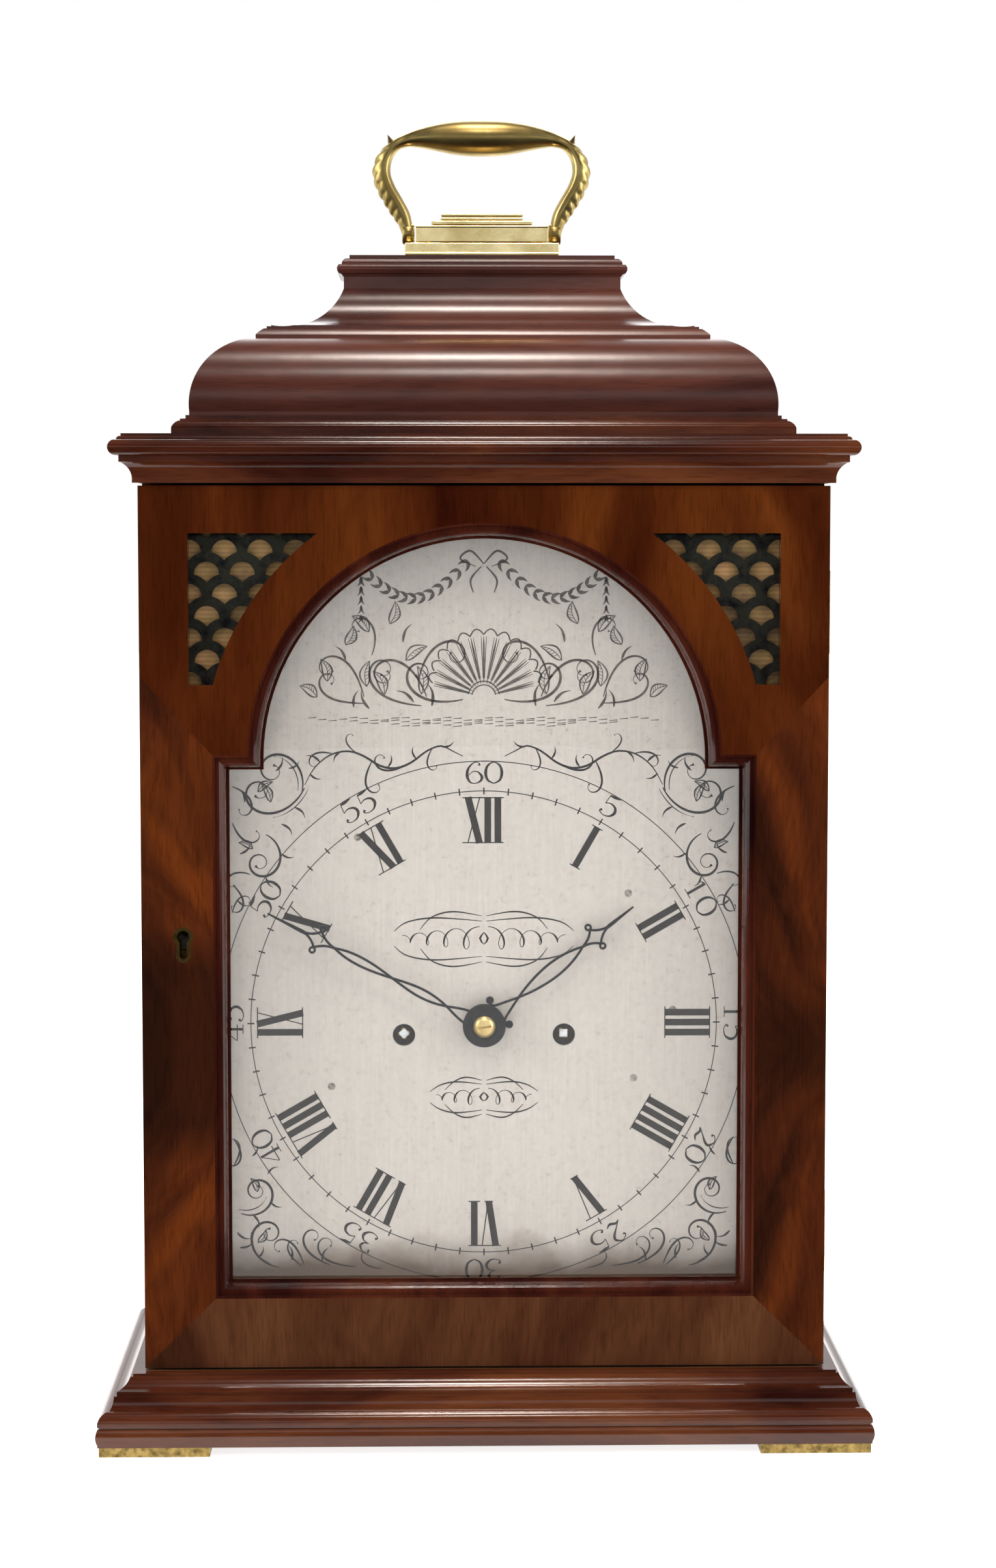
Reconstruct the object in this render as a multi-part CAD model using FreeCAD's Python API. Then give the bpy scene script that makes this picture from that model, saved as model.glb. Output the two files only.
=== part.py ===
import FreeCAD, Part
import math
import os

# Bracket clock with a bell top, break-arch dial and twin fusee movement.
# Millimetres. X runs across the front, the front looks along -Y, Z is up.
# The origin is the centre of the base, on the surface that the clock stands on.

os.makedirs("parts", exist_ok=True)

# ---- Case, driving sizes -------------------------------------------------
CASE_WIDTH = 260.0
CASE_DEPTH = 145.4            # front of the door to the back of the sides
BASE_OVERHANG = 17.6          # base moulding beyond the case, front and sides
BACK_PROUD = 2.0              # base beyond the back of the sides
FOOT_HEIGHT = 3.7
FOOT_LENGTH = 42.0
FOOT_WIDTH = 26.0
FOOT_INSET = 1.2              # foot behind the edge of the base moulding
BASE_TOP = 29.0
BASE_BOARD = 14.0
DOOR_HEIGHT = 336.3
DOOR_GAP = 1.0                # over and under the door
DOOR_THICKNESS = 18.0
DOOR_BACK_GAP = 0.6           # door's back to the front edges of the sides
SIDE_THICKNESS = 12.0
CORNICE_HEIGHT = 18.3
TOP_BOARD = 10.0
RAIL_THICKNESS = 12.0
LOWER_RAIL_HEIGHT = 22.0
UPPER_RAIL_HEIGHT = 24.0

# ---- Bell top ------------------------------------------------------------
STEP_INSET = 12.0             # step moulding behind the case's face
STEP_HEIGHT = 7.4
OVOLO_INSET = 18.5
OVOLO_WIDTH = 24.0
OVOLO_FILLET = 1.4            # upright foot of the ovolo tier
OVOLO_HEIGHT = 28.9
MID_STEP_HEIGHT = 4.4
MID_STEP_WIDTH = 4.1
NECK_INSET = 76.0
CAVETTO_HEIGHT = 16.0
NECK_HEIGHT = 4.6
CAP_HEIGHT = 8.5
CAP_PROUD = 2.6
DEPTH_SHARE = 0.72            # front and back insets against the side insets
TIER_WALL = 9.0

# ---- Handle --------------------------------------------------------------
PLATE_LENGTH = 60.4
PLATE_DEPTH = 24.0
PLATE_STRIP = 5.0
PLATE_BODY_LENGTH = 51.0
PLATE_BODY_DEPTH = 17.0
PLATE_BODY_HEIGHT = 7.2
PLATE_TOP_LENGTH = 31.0
PLATE_TOP_DEPTH = 10.0
PLATE_TOP_HEIGHT = 4.3
BAIL_PIVOT_LIFT = 4.4         # pivot above the plate's strip
BAIL_PIVOT_R = 1.6
BAIL_EYE_R = 4.0              # round foot of each arm
BAIL_SHOULDER_HALF = 36.0
BAIL_BELLY_HALF = 37.6
BAIL_RISE = 37.3              # pivot to the middle of the grip
GRIP_R = 7.4
GRIP_END_R = 3.0
ARM_WIDTH = 6.6
ARM_DEPTH = 7.8
ARM_CLEAR = 0.7               # arm beside the body of the plate

# ---- Door opening --------------------------------------------------------
STILE_WIDTH = 27.2
OPENING_HALF = CASE_WIDTH / 2 - STILE_WIDTH
OPENING_BOTTOM = 26.8         # above the door's lower edge
SHOULDER_WIDTH = 13.0         # flat step each side of the arch
ARCH_RADIUS = OPENING_HALF - SHOULDER_WIDTH
ARCH_DROP = 2.4               # arch centre below the shoulders
HEAD_WOOD = 13.9              # wood of the door over the arch
SHOULDER_RISE = DOOR_HEIGHT - HEAD_WOOD - ARCH_RADIUS + ARCH_DROP - OPENING_BOTTOM
SIGHT_WIDTH = 5.9
SIGHT_DEPTH = 8.0
GLASS_THICKNESS = 2.5
GLASS_CLEARANCE = 0.4
HEAD_JOINT_RISE = 29.5        # shoulder joint climbs this far to the door's edge

# ---- Frets ---------------------------------------------------------------
SPANDREL_EDGE = 18.5          # door's edge to the spandrel opening
SPANDREL_TOP = 17.8           # door's top to the spandrel opening
SPANDREL_HEIGHT = 57.0
ARCH_BAND = 16.7              # wood between the arch and the spandrel openings
SPANDREL_RADIUS = ARCH_RADIUS + ARCH_BAND
FRET_DEPTH = 4.5              # fret behind the wood's face
FRET_THICKNESS = 1.4
FRET_LAP = 3.0
SILK_THICKNESS = 0.5
SCALE_PITCH = 13.4
SCALE_ROW = 8.3
SCALE_HOLE_R = 4.8
SCALE_WEB = 3.7
SIDE_FRET_WIDTH = 60.0
SIDE_FRET_BOTTOM = 150.0      # above the top of the base
SIDE_FRET_HEIGHT = 96.0       # to the spring of its round head

# ---- Lock and hinges -----------------------------------------------------
KEYHOLE_INSET = 0.577 * STILE_WIDTH     # door's edge to the keyhole
KEYHOLE_RISE = 166.0          # door's lower edge to the keyhole's centre
KEYHOLE_R = 2.4
KEYHOLE_SLOT = 2.8
KEYHOLE_DROP = 8.4
ESCUTCHEON_RIM = 1.4
LOCK_WIDTH = STILE_WIDTH - 4.2
LOCK_HEIGHT = 34.0
LOCK_DEPTH = 11.5
LOCK_EDGE = 3.4               # door's edge to the lock
BOLT_LENGTH = 10.5
BOLT_THICKNESS = 2.4
BOLT_HEIGHT = 8.0
BOLT_TRAVEL = 5.5
BOLT_PLAY = 0.3
LOCK_DROP = 2.0               # middle of the lock below the keyhole's centre
STAPLE_EDGE = 6.6             # door's edge to the staple
STAPLE_WIRE = 1.8
STAPLE_BAR = 1.4
STAPLE_PLAY = 0.7             # staple round the bolt
STAPLE_GAP = 4.0              # staple to the bolt at rest
STAPLE_PLATE = 28.0
STAPLE_ROOM = 0.8
HINGE_LENGTH = 32.0
HINGE_LEAF = 1.2
HINGE_LEAF_WIDTH = 12.0
KNUCKLE_R = 1.2
KNUCKLE_STAND = 0.1           # knuckle off the edge of the door
HINGE_PIN_R = 0.55
PIN_PLAY = 0.05
KNUCKLE_COUNT = 5
KNUCKLE_GAP = 0.15
FRONT_HINGE_INSET = 48.0      # door's ends to the middle of each hinge

# ---- Back door -----------------------------------------------------------
BACK_DOOR_GAP = 0.8
BACK_STILE = 28.0
BACK_GLASS_REBATE = 5.0
CATCH_LENGTH = 26.0
CATCH_WIDTH = 9.0
CATCH_THICKNESS = 1.4
CATCH_SCREW_R = 1.5

# ---- Dial ----------------------------------------------------------------
DIAL_SETBACK = 24.0           # front of the door to the front of the dial
DIAL_THICKNESS = 2.0
DIAL_HALF = OPENING_HALF - 1.2
DIAL_EDGE = 3.4               # dial below the opening and above the shoulders
DIAL_ARCH_EXTRA = 1.4
DIAL_CENTRE = 102.5           # opening's lower edge to the hands' centre
DIAL_HOLE_R = 4.2
WINDING_SPREAD = 31.0
WINDING_DROP = 4.7            # winding squares below the hands' centre
WINDING_HOLE_R = 4.35
WINDING_SQUARE = 3.2
SQUARE_SETBACK = 4.0          # end of the square behind the dial's face
MASK_THICKNESS = 4.5
MASK_LAP = 2.0
FOOT_PILLAR_R = 2.4
RIVET_R = 1.5

# ---- Movement ------------------------------------------------------------
MOTION_SPACE = 11.0           # dial's back to the front plate
PLATE_THICKNESS = 3.0
MOVEMENT_ROOM = 85.4          # depth of the case not taken by the movement
PLATE_SPACING = CASE_DEPTH - MOVEMENT_ROOM
PLATE_HALF = 77.0
PLATE_FOOT = 67.0             # plates reach this far below the hands' centre
PLATE_HEAD = 88.0             # and this far above it
PILLAR_R = 4.0
SEAT_THICKNESS = 9.0
CLEAT = 12.0
BOLT_R = 2.2
WHEEL_THICKNESS = 1.6
GREAT_TEETH = 96              # going side
STRIKE_TEETH = 84             # striking side, smaller, so that it clears the centre pinion
CENTRE_PINION = 8
TRAIN_MODULE_2 = 0.62
CENTRE_TEETH = 84
THIRD_PINION = 7
THIRD_OFFSET = 8.0            # third arbor to the right of the centre line
TRAIN_MODULE_3 = 0.5
THIRD_TEETH = 84
ESCAPE_PINION = 7
ESCAPE_TEETH = 30
ESCAPE_R = 18.5
PALLET_RISE = 78.0            # pallet arbor above the hands' centre
PALLET_CLEAR = 1.1             # pallets at rest to the escape wheel's teeth
MOTION_TEETH = 40
MOTION_MODULE = 0.55
MINUTE_PINION = 6
HOUR_TEETH = 72
MINUTE_WHEEL_LEFT = 12.0
ARBOR_R = 1.2
RUN_PLAY = 0.05
BARREL_R = 19.0
BARREL_ROOM = 17.5            # space between the plates beside the barrels
BARREL_LENGTH = PLATE_SPACING - BARREL_ROOM
BARREL_SETBACK = 5.0          # drum behind the front plate
BARREL_RIM = 1.2
BARREL_RIM_THICKNESS = 1.5
BARREL_SPREAD = 36.0
BARREL_DROP = 46.0
FUSEE_BIG_R = 16.0
FUSEE_SMALL_R = 8.0
FUSEE_LENGTH = 26.0
FUSEE_ARBOR_R = 2.6
FUSEE_RIDGE = 2.0
FUSEE_GROOVE = 0.5
LINE_R = 0.6
LINE_LIFT = 0.9               # line's middle over the barrel and the fusee
LINE_SETBACK = 5.0            # line in front of the great wheel
PENDULUM_LENGTH = 172.6       # suspension to the middle of the bob
BOB_R = 21.0
BOB_THICKNESS = 12.0
ROD_R = 1.3
PENDULUM_SETBACK = 19.0       # middle of the pendulum behind the back plate
CRUTCH_LENGTH = 44.0
COCK_HALF = 22.0
COCK_STAND = 8.0
COCK_PLATE = 2.5
COCK_LOW = 5.0                # bridge below and above the pallet arbor
COCK_HIGH = 7.0
SUSPENSION_GAP = 0.3          # suspension block over the cock
BELL_R = 31.0
BELL_WALL = 2.0
BELL_HEIGHT = 27.0
BELL_RISE = 100.0             # bell's mouth above the hands' centre
BELL_STUD_R = 2.0
BELL_POST_X = 7.0             # near edge of the bell's post, right of the pallet arbor
BELL_POST_WIDTH = 10.0
BELL_POST_THICKNESS = 3.0
HAMMER_GAP = 1.2              # hammer at rest to the bell
HAMMER_SPREAD = 46.0
HAMMER_RISE = 70.0

# ---- Hands ---------------------------------------------------------------
HAND_THICKNESS = 1.0
STRAND_WIDTH = 0.9
HOUR_HOLE_R = 3.4
HOUR_STRANDS = ((6.0, 7.4), (4.3, 6.9), (2.3, 10.2))     # right and up of the centre
HOUR_BALLS = (6.0, 7.6, 1.5)  # right, up, radius
HOUR_LOOPS = ((17.0, 48.5, 2.7),)                        # start, end, half width
HOUR_LOZENGE = (48.5, 54.8, 61.2, 3.4)                   # low, widest, neck, half width
MINUTE_HOLE_R = 2.2
MINUTE_STRANDS = ((2.6, 7.0), (1.5, 12.0))
MINUTE_LOOPS = ((16.5, 39.9, 1.6), (39.9, 65.0, 1.5))
MINUTE_LOZENGE = (65.0, 72.3, 78.3, 3.4)
CURL_R = 1.45
HOUR_HAND_LENGTH = 73.5
HOUR_HAND_ANGLE = 51.6        # clockwise from twelve, degrees
MINUTE_HAND_LENGTH = 94.0
MINUTE_HAND_ANGLE = 297.8
HOUR_HAND_STAND = 3.6         # hour hand in front of the dial
HAND_SPACING = 2.6            # hour hand's face to the minute hand's back
BOSS_R = 8.2
HOUR_BOSS_R = 8.0
COLLET_R = 4.0
COLLET_THICKNESS = 2.6

# ---- Places worked out from the sizes ------------------------------------
HALF = CASE_WIDTH / 2
Y_BASE_FRONT = -(BASE_OVERHANG + CASE_DEPTH + BACK_PROUD) / 2
Y_FRONT = Y_BASE_FRONT + BASE_OVERHANG
Y_BACK = Y_FRONT + CASE_DEPTH
Y_BASE_BACK = Y_BACK + BACK_PROUD
Y_DOOR_BACK = Y_FRONT + DOOR_THICKNESS
Y_SIDE_FRONT = Y_DOOR_BACK + DOOR_BACK_GAP
Y_CASE_MIDDLE = (Y_FRONT + Y_BACK) / 2
Z_DOOR_BOTTOM = BASE_TOP + DOOR_GAP
Z_DOOR_TOP = Z_DOOR_BOTTOM + DOOR_HEIGHT
Z_CORNICE = Z_DOOR_TOP + DOOR_GAP
Z_TOP = Z_CORNICE + CORNICE_HEIGHT
Z_OVOLO = Z_TOP + STEP_HEIGHT
Z_MID_STEP = Z_OVOLO + OVOLO_FILLET + OVOLO_HEIGHT
Z_CAVETTO = Z_MID_STEP + MID_STEP_HEIGHT
Z_CAP = Z_CAVETTO + CAVETTO_HEIGHT + NECK_HEIGHT
Z_HANDLE = Z_CAP + CAP_HEIGHT
MID_STEP_INSET = OVOLO_INSET + OVOLO_WIDTH
CAVETTO_INSET = MID_STEP_INSET + MID_STEP_WIDTH + 2.0
Z_OPENING = Z_DOOR_BOTTOM + OPENING_BOTTOM
Z_SHOULDER = Z_OPENING + SHOULDER_RISE
Z_ARCH = Z_SHOULDER - ARCH_DROP
X_INNER = HALF - SIDE_THICKNESS
Y_DIAL = Y_FRONT + DIAL_SETBACK
Y_DIAL_BACK = Y_DIAL + DIAL_THICKNESS
Z_CENTRE = Z_OPENING + DIAL_CENTRE
Z_WINDING = Z_CENTRE - WINDING_DROP
Y_PLATE = Y_DIAL_BACK + MOTION_SPACE
Y_TRAIN = Y_PLATE + PLATE_THICKNESS
Y_BACK_PLATE = Y_TRAIN + PLATE_SPACING
Y_COCK = Y_BACK_PLATE + PLATE_THICKNESS
Y_PENDULUM = Y_COCK + PENDULUM_SETBACK
Z_PALLETS = Z_CENTRE + PALLET_RISE
Z_SEAT = Z_CENTRE - PLATE_FOOT
Z_PIVOT = Z_HANDLE + PLATE_STRIP + BAIL_PIVOT_LIFT
X_KEYHOLE = -HALF + KEYHOLE_INSET
Z_KEYHOLE = Z_DOOR_BOTTOM + KEYHOLE_RISE
Z_LOCK = Z_KEYHOLE - LOCK_DROP
STAPLE_X = -HALF + STAPLE_EDGE
FRONT_AXIS_X = HALF + KNUCKLE_R + KNUCKLE_STAND
FRONT_AXIS_Y = Y_DOOR_BACK + DOOR_BACK_GAP / 2
FRONT_LEAF_REACH = HINGE_LEAF_WIDTH - 2.0
FRONT_HINGES = (Z_DOOR_BOTTOM + FRONT_HINGE_INSET, Z_DOOR_TOP - FRONT_HINGE_INSET)
Z_BACK_DOOR = BASE_TOP + LOWER_RAIL_HEIGHT + BACK_DOOR_GAP
Z_BACK_DOOR_TOP = Z_TOP - TOP_BOARD - UPPER_RAIL_HEIGHT - BACK_DOOR_GAP
BACK_HINGES = (Z_BACK_DOOR + FRONT_HINGE_INSET, Z_BACK_DOOR_TOP - FRONT_HINGE_INSET)
BACK_AXIS_X = X_INNER - BACK_DOOR_GAP / 2
BACK_AXIS_Y = Y_BACK
X_BACK_EDGE = X_INNER - BACK_DOOR_GAP
Y_BACK_LEAF = Y_BACK - HINGE_LEAF_WIDTH + 2.0
Y_HOUR_HAND = Y_DIAL - HOUR_HAND_STAND - HAND_THICKNESS
Y_MINUTE_HAND = Y_HOUR_HAND - HAND_SPACING - HAND_THICKNESS
Y_COLLET = Y_MINUTE_HAND - COLLET_THICKNESS

# ---- Wheelwork worked out from the sizes ---------------------------------
PIVOT_R = 0.8
TRAIN_MODULE_1 = 2 * math.hypot(WINDING_SPREAD, WINDING_DROP) / (GREAT_TEETH + CENTRE_PINION)
THIRD_DISTANCE = TRAIN_MODULE_2 * (CENTRE_TEETH + THIRD_PINION) / 2
ESCAPE_DISTANCE = TRAIN_MODULE_3 * (THIRD_TEETH + ESCAPE_PINION) / 2
THIRD_X = THIRD_OFFSET
THIRD_Z = Z_CENTRE + math.sqrt(THIRD_DISTANCE ** 2 - THIRD_OFFSET ** 2)
ESCAPE_Z = THIRD_Z + math.sqrt(ESCAPE_DISTANCE ** 2 - THIRD_OFFSET ** 2)
MOTION_DISTANCE = MOTION_MODULE * MOTION_TEETH
MINUTE_X = -MINUTE_WHEEL_LEFT
MINUTE_Z = Z_CENTRE - math.sqrt(MOTION_DISTANCE ** 2 - MINUTE_WHEEL_LEFT ** 2)
HOUR_MODULE = 2 * MOTION_DISTANCE / (MINUTE_PINION + HOUR_TEETH)
Y_GREAT = Y_BACK_PLATE - 9.0
Y_CENTRE_WHEEL = Y_TRAIN + 9.0
Y_THIRD_WHEEL = Y_TRAIN + 26.0
Y_ESCAPE = Y_TRAIN + 34.0
Y_BARREL = Y_TRAIN + BARREL_SETBACK
Y_LINE = Y_GREAT - LINE_SETBACK
BARREL_Z = Z_CENTRE - BARREL_DROP
HAMMER_X = -HAMMER_SPREAD
HAMMER_Z = Z_CENTRE + HAMMER_RISE
PIVOTS_COMMON = [(side * WINDING_SPREAD, Z_WINDING, FUSEE_ARBOR_R) for side in (-1, 1)]
PIVOTS_COMMON += [(side * BARREL_SPREAD, BARREL_Z, FUSEE_ARBOR_R) for side in (-1, 1)]
PIVOTS_COMMON += [(THIRD_X, THIRD_Z, PIVOT_R), (0.0, ESCAPE_Z, PIVOT_R), (HAMMER_X, HAMMER_Z, PIVOT_R)]
PIVOTS_COMMON += [(0.0, Z_PALLETS, PIVOT_R)]
PIVOTS_FRONT = PIVOTS_COMMON + [(0.0, Z_CENTRE, ARBOR_R), (MINUTE_X, MINUTE_Z, PIVOT_R)]
PIVOTS_BACK = PIVOTS_COMMON + [(0.0, Z_CENTRE, PIVOT_R), (0.0, Z_PALLETS, 2.0 * ARBOR_R)]


# ---- Drawing helpers -----------------------------------------------------
def at_xz(x, z, y=0.0):
    return FreeCAD.Vector(x, y, z)


def at_yz(y, z, x=0.0):
    return FreeCAD.Vector(x, y, z)


def at_xy(x, y, z=0.0):
    return FreeCAD.Vector(x, y, z)


def is_arc(step):
    return isinstance(step[0], tuple)


def end_of(step):
    return step[1] if is_arc(step) else step


def moved_steps(steps, move):
    """Each point of an outline through a function. An arc is a (middle, end) pair."""
    return [(move(s[0]), move(s[1])) if is_arc(s) else move(s) for s in steps]


def reversed_steps(steps):
    ends = [end_of(s) for s in steps]
    result = [ends[-1]]
    for i in range(len(steps) - 1, 0, -1):
        result.append((steps[i][0], ends[i - 1]) if is_arc(steps[i]) else ends[i - 1])
    return result


def outline(steps, place):
    """Closed wire through corners and arcs, on the plane that place gives."""
    edges = []
    here = steps[0]
    for step in list(steps[1:]) + [steps[0]]:
        end = end_of(step)
        if math.dist(here, end) < 1e-6:
            continue
        if is_arc(step):
            edges.append(Part.Arc(place(*here), place(*step[0]), place(*end)).toShape())
        else:
            edges.append(Part.makeLine(place(*here), place(*end)))
        here = end
    return Part.Wire(edges)


def prism_y(steps, y0, y1):
    face = Part.Face(outline(steps, lambda x, z: at_xz(x, z, y0)))
    return face.extrude(FreeCAD.Vector(0, y1 - y0, 0))


def prism_x(steps, x0, x1):
    face = Part.Face(outline(steps, lambda y, z: at_yz(y, z, x0)))
    return face.extrude(FreeCAD.Vector(x1 - x0, 0, 0))


def prism_z(steps, z0, z1):
    face = Part.Face(outline(steps, lambda x, y: at_xy(x, y, z0)))
    return face.extrude(FreeCAD.Vector(0, 0, z1 - z0))


def box(x0, x1, y0, y1, z0, z1):
    return Part.makeBox(x1 - x0, y1 - y0, z1 - z0, FreeCAD.Vector(x0, y0, z0))


def rod_y(x, z, r, y0, y1):
    return Part.makeCylinder(r, y1 - y0, FreeCAD.Vector(x, y0, z), FreeCAD.Vector(0, 1, 0))


def rod_z(x, y, r, z0, z1):
    return Part.makeCylinder(r, z1 - z0, FreeCAD.Vector(x, y, z0), FreeCAD.Vector(0, 0, 1))


def rod_x(y, z, r, x0, x1):
    return Part.makeCylinder(r, x1 - x0, FreeCAD.Vector(x0, y, z), FreeCAD.Vector(1, 0, 0))


def pipe_y(x, z, r_out, r_in, y0, y1):
    return rod_y(x, z, r_out, y0, y1).cut(rod_y(x, z, r_in, y0 - 1, y1 + 1))


def rod_between(a, b, r):
    way = b.sub(a)
    return Part.makeCylinder(r, way.Length, a, way)


def fused(shapes):
    return shapes[0].multiFuse(shapes[1:]).removeSplitter() if len(shapes) > 1 else shapes[0]


def mirrored(shape):
    return shape.mirror(FreeCAD.Vector(0, 0, 0), FreeCAD.Vector(1, 0, 0))


def turned(shape, angle, x, z):
    """Turned clockwise, as seen from the front, about the point x, z."""
    result = shape.copy()
    result.rotate(FreeCAD.Vector(x, 0, z), FreeCAD.Vector(0, 1, 0), angle)
    return result


NODES = {}


def keep(name, *shapes):
    NODES[name] = list(shapes)


# ---- Mitred mouldings ----------------------------------------------------
def base_profile():
    """Offsets from the case against height, from the base's underside to its top."""
    rim = BASE_OVERHANG
    low = FOOT_HEIGHT
    return [(0.0, low), (rim - 0.7, low), (rim - 0.7, low + 0.9),
            ((rim, low + 3.9), (rim - 0.7, low + 6.9)), (rim - 1.5, low + 7.1),
            (rim - 1.5, low + 7.7), (rim - 0.7, low + 7.9), (rim - 0.7, low + 9.4),
            ((rim - 2.0, low + 11.8), (rim - 4.3, low + 13.1)), (rim - 5.0, low + 13.1),
            ((rim - 6.1, low + 15.4), (rim - 6.6, low + 18.3)), (rim - 7.6, low + 18.3),
            (rim - 7.6, low + 19.8), ((rim - 10.6, low + 21.6), (rim - 12.4, BASE_TOP - 0.9)),
            (rim - 13.3, BASE_TOP - 0.9), (rim - 13.3, BASE_TOP), (0.0, BASE_TOP)]


def cornice_profile():
    low = Z_CORNICE
    return [(0.0, low), (1.9, low), (1.9, low + 2.0), ((2.9, low + 5.0), (5.6, low + 7.5)),
            (6.4, low + 7.7), (6.4, low + 9.9), (7.2, low + 10.1), ((10.2, low + 13.1), (7.2, low + 16.1)),
            ((6.7, low + 17.0), (5.6, low + 17.4)), (5.6, Z_TOP), (0.0, Z_TOP)]


def three_sided(profile, back):
    """Front, left and right lengths of a moulding, mitred at the front corners."""
    right = moved_steps(profile, lambda p: (HALF + p[0], p[1]))
    left = moved_steps(reversed_steps(profile), lambda p: (-HALF - p[0], p[1]))
    front = moved_steps(profile, lambda p: (Y_FRONT - p[0], p[1]))
    low = profile[0][1]
    high = profile[-1][1]
    reach = 2 * BASE_OVERHANG
    across = prism_y(right + left, Y_FRONT - reach, back)
    along = prism_x([(back, low)] + front + [(back, high)], -HALF - reach, HALF + reach)
    core = box(-HALF, HALF, Y_FRONT, back + 1, low - 1, high + 1)
    ring = across.common(along).cut(core)
    front_wedge = [(-HALF, Y_FRONT), (HALF, Y_FRONT), (HALF + reach, Y_FRONT - reach),
                   (-HALF - reach, Y_FRONT - reach)]
    right_wedge = [(HALF, Y_FRONT), (HALF + reach, Y_FRONT - reach), (HALF + reach, back), (HALF, back)]
    right_length = ring.common(prism_z(right_wedge, low - 1, high + 1))
    return [ring.common(prism_z(front_wedge, low - 1, high + 1)), right_length, mirrored(right_length)]


def four_sided(profile):
    """Block whose insets from the case are the profile's, smaller at front and back."""
    half_depth = CASE_DEPTH / 2
    right = moved_steps(profile, lambda p: (HALF - p[0], p[1]))
    left = moved_steps(reversed_steps(profile), lambda p: (p[0] - HALF, p[1]))
    back = moved_steps(profile, lambda p: (Y_CASE_MIDDLE + half_depth - DEPTH_SHARE * p[0], p[1]))
    front = moved_steps(reversed_steps(profile),
                        lambda p: (Y_CASE_MIDDLE - half_depth + DEPTH_SHARE * p[0], p[1]))
    across = prism_y(right + left, Y_CASE_MIDDLE - half_depth, Y_CASE_MIDDLE + half_depth)
    return across.common(prism_x(back + front, -HALF, HALF))


def hollowed(block, inset):
    """The block round a straight shaft that stands the given inset from the case."""
    half_x = HALF - inset
    half_y = CASE_DEPTH / 2 - DEPTH_SHARE * inset
    bound = block.BoundBox
    shaft = box(-half_x, half_x, Y_CASE_MIDDLE - half_y, Y_CASE_MIDDLE + half_y,
                bound.ZMin - 1, bound.ZMax + 1)
    return block.cut(shaft)


def make_base():
    keep("base_moulding", *three_sided(base_profile(), Y_BASE_BACK))
    board = box(-HALF, HALF, Y_FRONT, Y_BASE_BACK, BASE_TOP - BASE_BOARD, BASE_TOP)
    rail = box(-HALF, HALF, Y_BASE_BACK - SIDE_THICKNESS, Y_BASE_BACK, FOOT_HEIGHT, BASE_TOP - BASE_BOARD)
    keep("base_board", fused([board, rail]))
    x_out = HALF + BASE_OVERHANG - FOOT_INSET
    y_out = Y_BASE_FRONT + FOOT_INSET
    y_rear = Y_BASE_BACK - FOOT_INSET
    feet = []
    for side in (-1, 1):
        x_in = side * (x_out - FOOT_LENGTH)
        x_low = min(side * x_out, x_in)
        x_high = max(side * x_out, x_in)
        feet.append(box(x_low, x_high, y_out, y_out + FOOT_WIDTH, 0, FOOT_HEIGHT))
        feet.append(box(x_low, x_high, y_rear - FOOT_WIDTH, y_rear, 0, FOOT_HEIGHT))
    keep("brass_feet", *feet)


# ---- Carcass -------------------------------------------------------------
def scale_hole(x, z):
    """One hole of a fish-scale fret: round head, and a point between the two scales below."""
    r = SCALE_HOLE_R
    web_r = r + SCALE_WEB
    dx = SCALE_PITCH / 2
    dz = SCALE_ROW
    point = -dz + math.sqrt(web_r ** 2 - dx ** 2)
    side = -dz + math.sqrt(web_r ** 2 - (r - dx) ** 2)
    head = math.sqrt(r ** 2 - side ** 2)
    low_mid = -dz + math.sqrt(web_r ** 2 - (head / 2 - dx) ** 2)
    return [(x - head, z + side), ((x, z + r), (x + head, z + side)),
            ((x + head / 2, z + low_mid), (x, z + point)),
            ((x - head / 2, z + low_mid), (x - head, z + side))]


def scale_holes(x0, x1, z0, z1, prism):
    """Prisms of all the holes whose middles lie in or just round a rectangle."""
    rows = int((z1 - z0) / SCALE_ROW) + 2
    columns = int((x1 - x0) / SCALE_PITCH) + 2
    holes = []
    for row in range(rows):
        shift = SCALE_PITCH / 2 if row % 2 else 0.0
        for column in range(-1, columns):
            holes.append(prism(scale_hole(x0 + shift + column * SCALE_PITCH, z0 + row * SCALE_ROW)))
    return Part.makeCompound(holes)


def side_opening(grow):
    """Round-headed opening of a side, seen along X, as steps in Y and Z."""
    half = SIDE_FRET_WIDTH / 2 + grow
    low = BASE_TOP + SIDE_FRET_BOTTOM - grow
    spring = BASE_TOP + SIDE_FRET_BOTTOM + SIDE_FRET_HEIGHT
    y = (Y_SIDE_FRONT + Y_BACK) / 2
    return [(y - half, low), (y + half, low), (y + half, spring), ((y, spring + half), (y - half, spring))]


def leaf_recess(x0, x1, y0, y1, z):
    """Room for one hinge leaf whose middle is at the height z."""
    return box(x0, x1, y0, y1, z - HINGE_LENGTH / 2, z + HINGE_LENGTH / 2)


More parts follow.
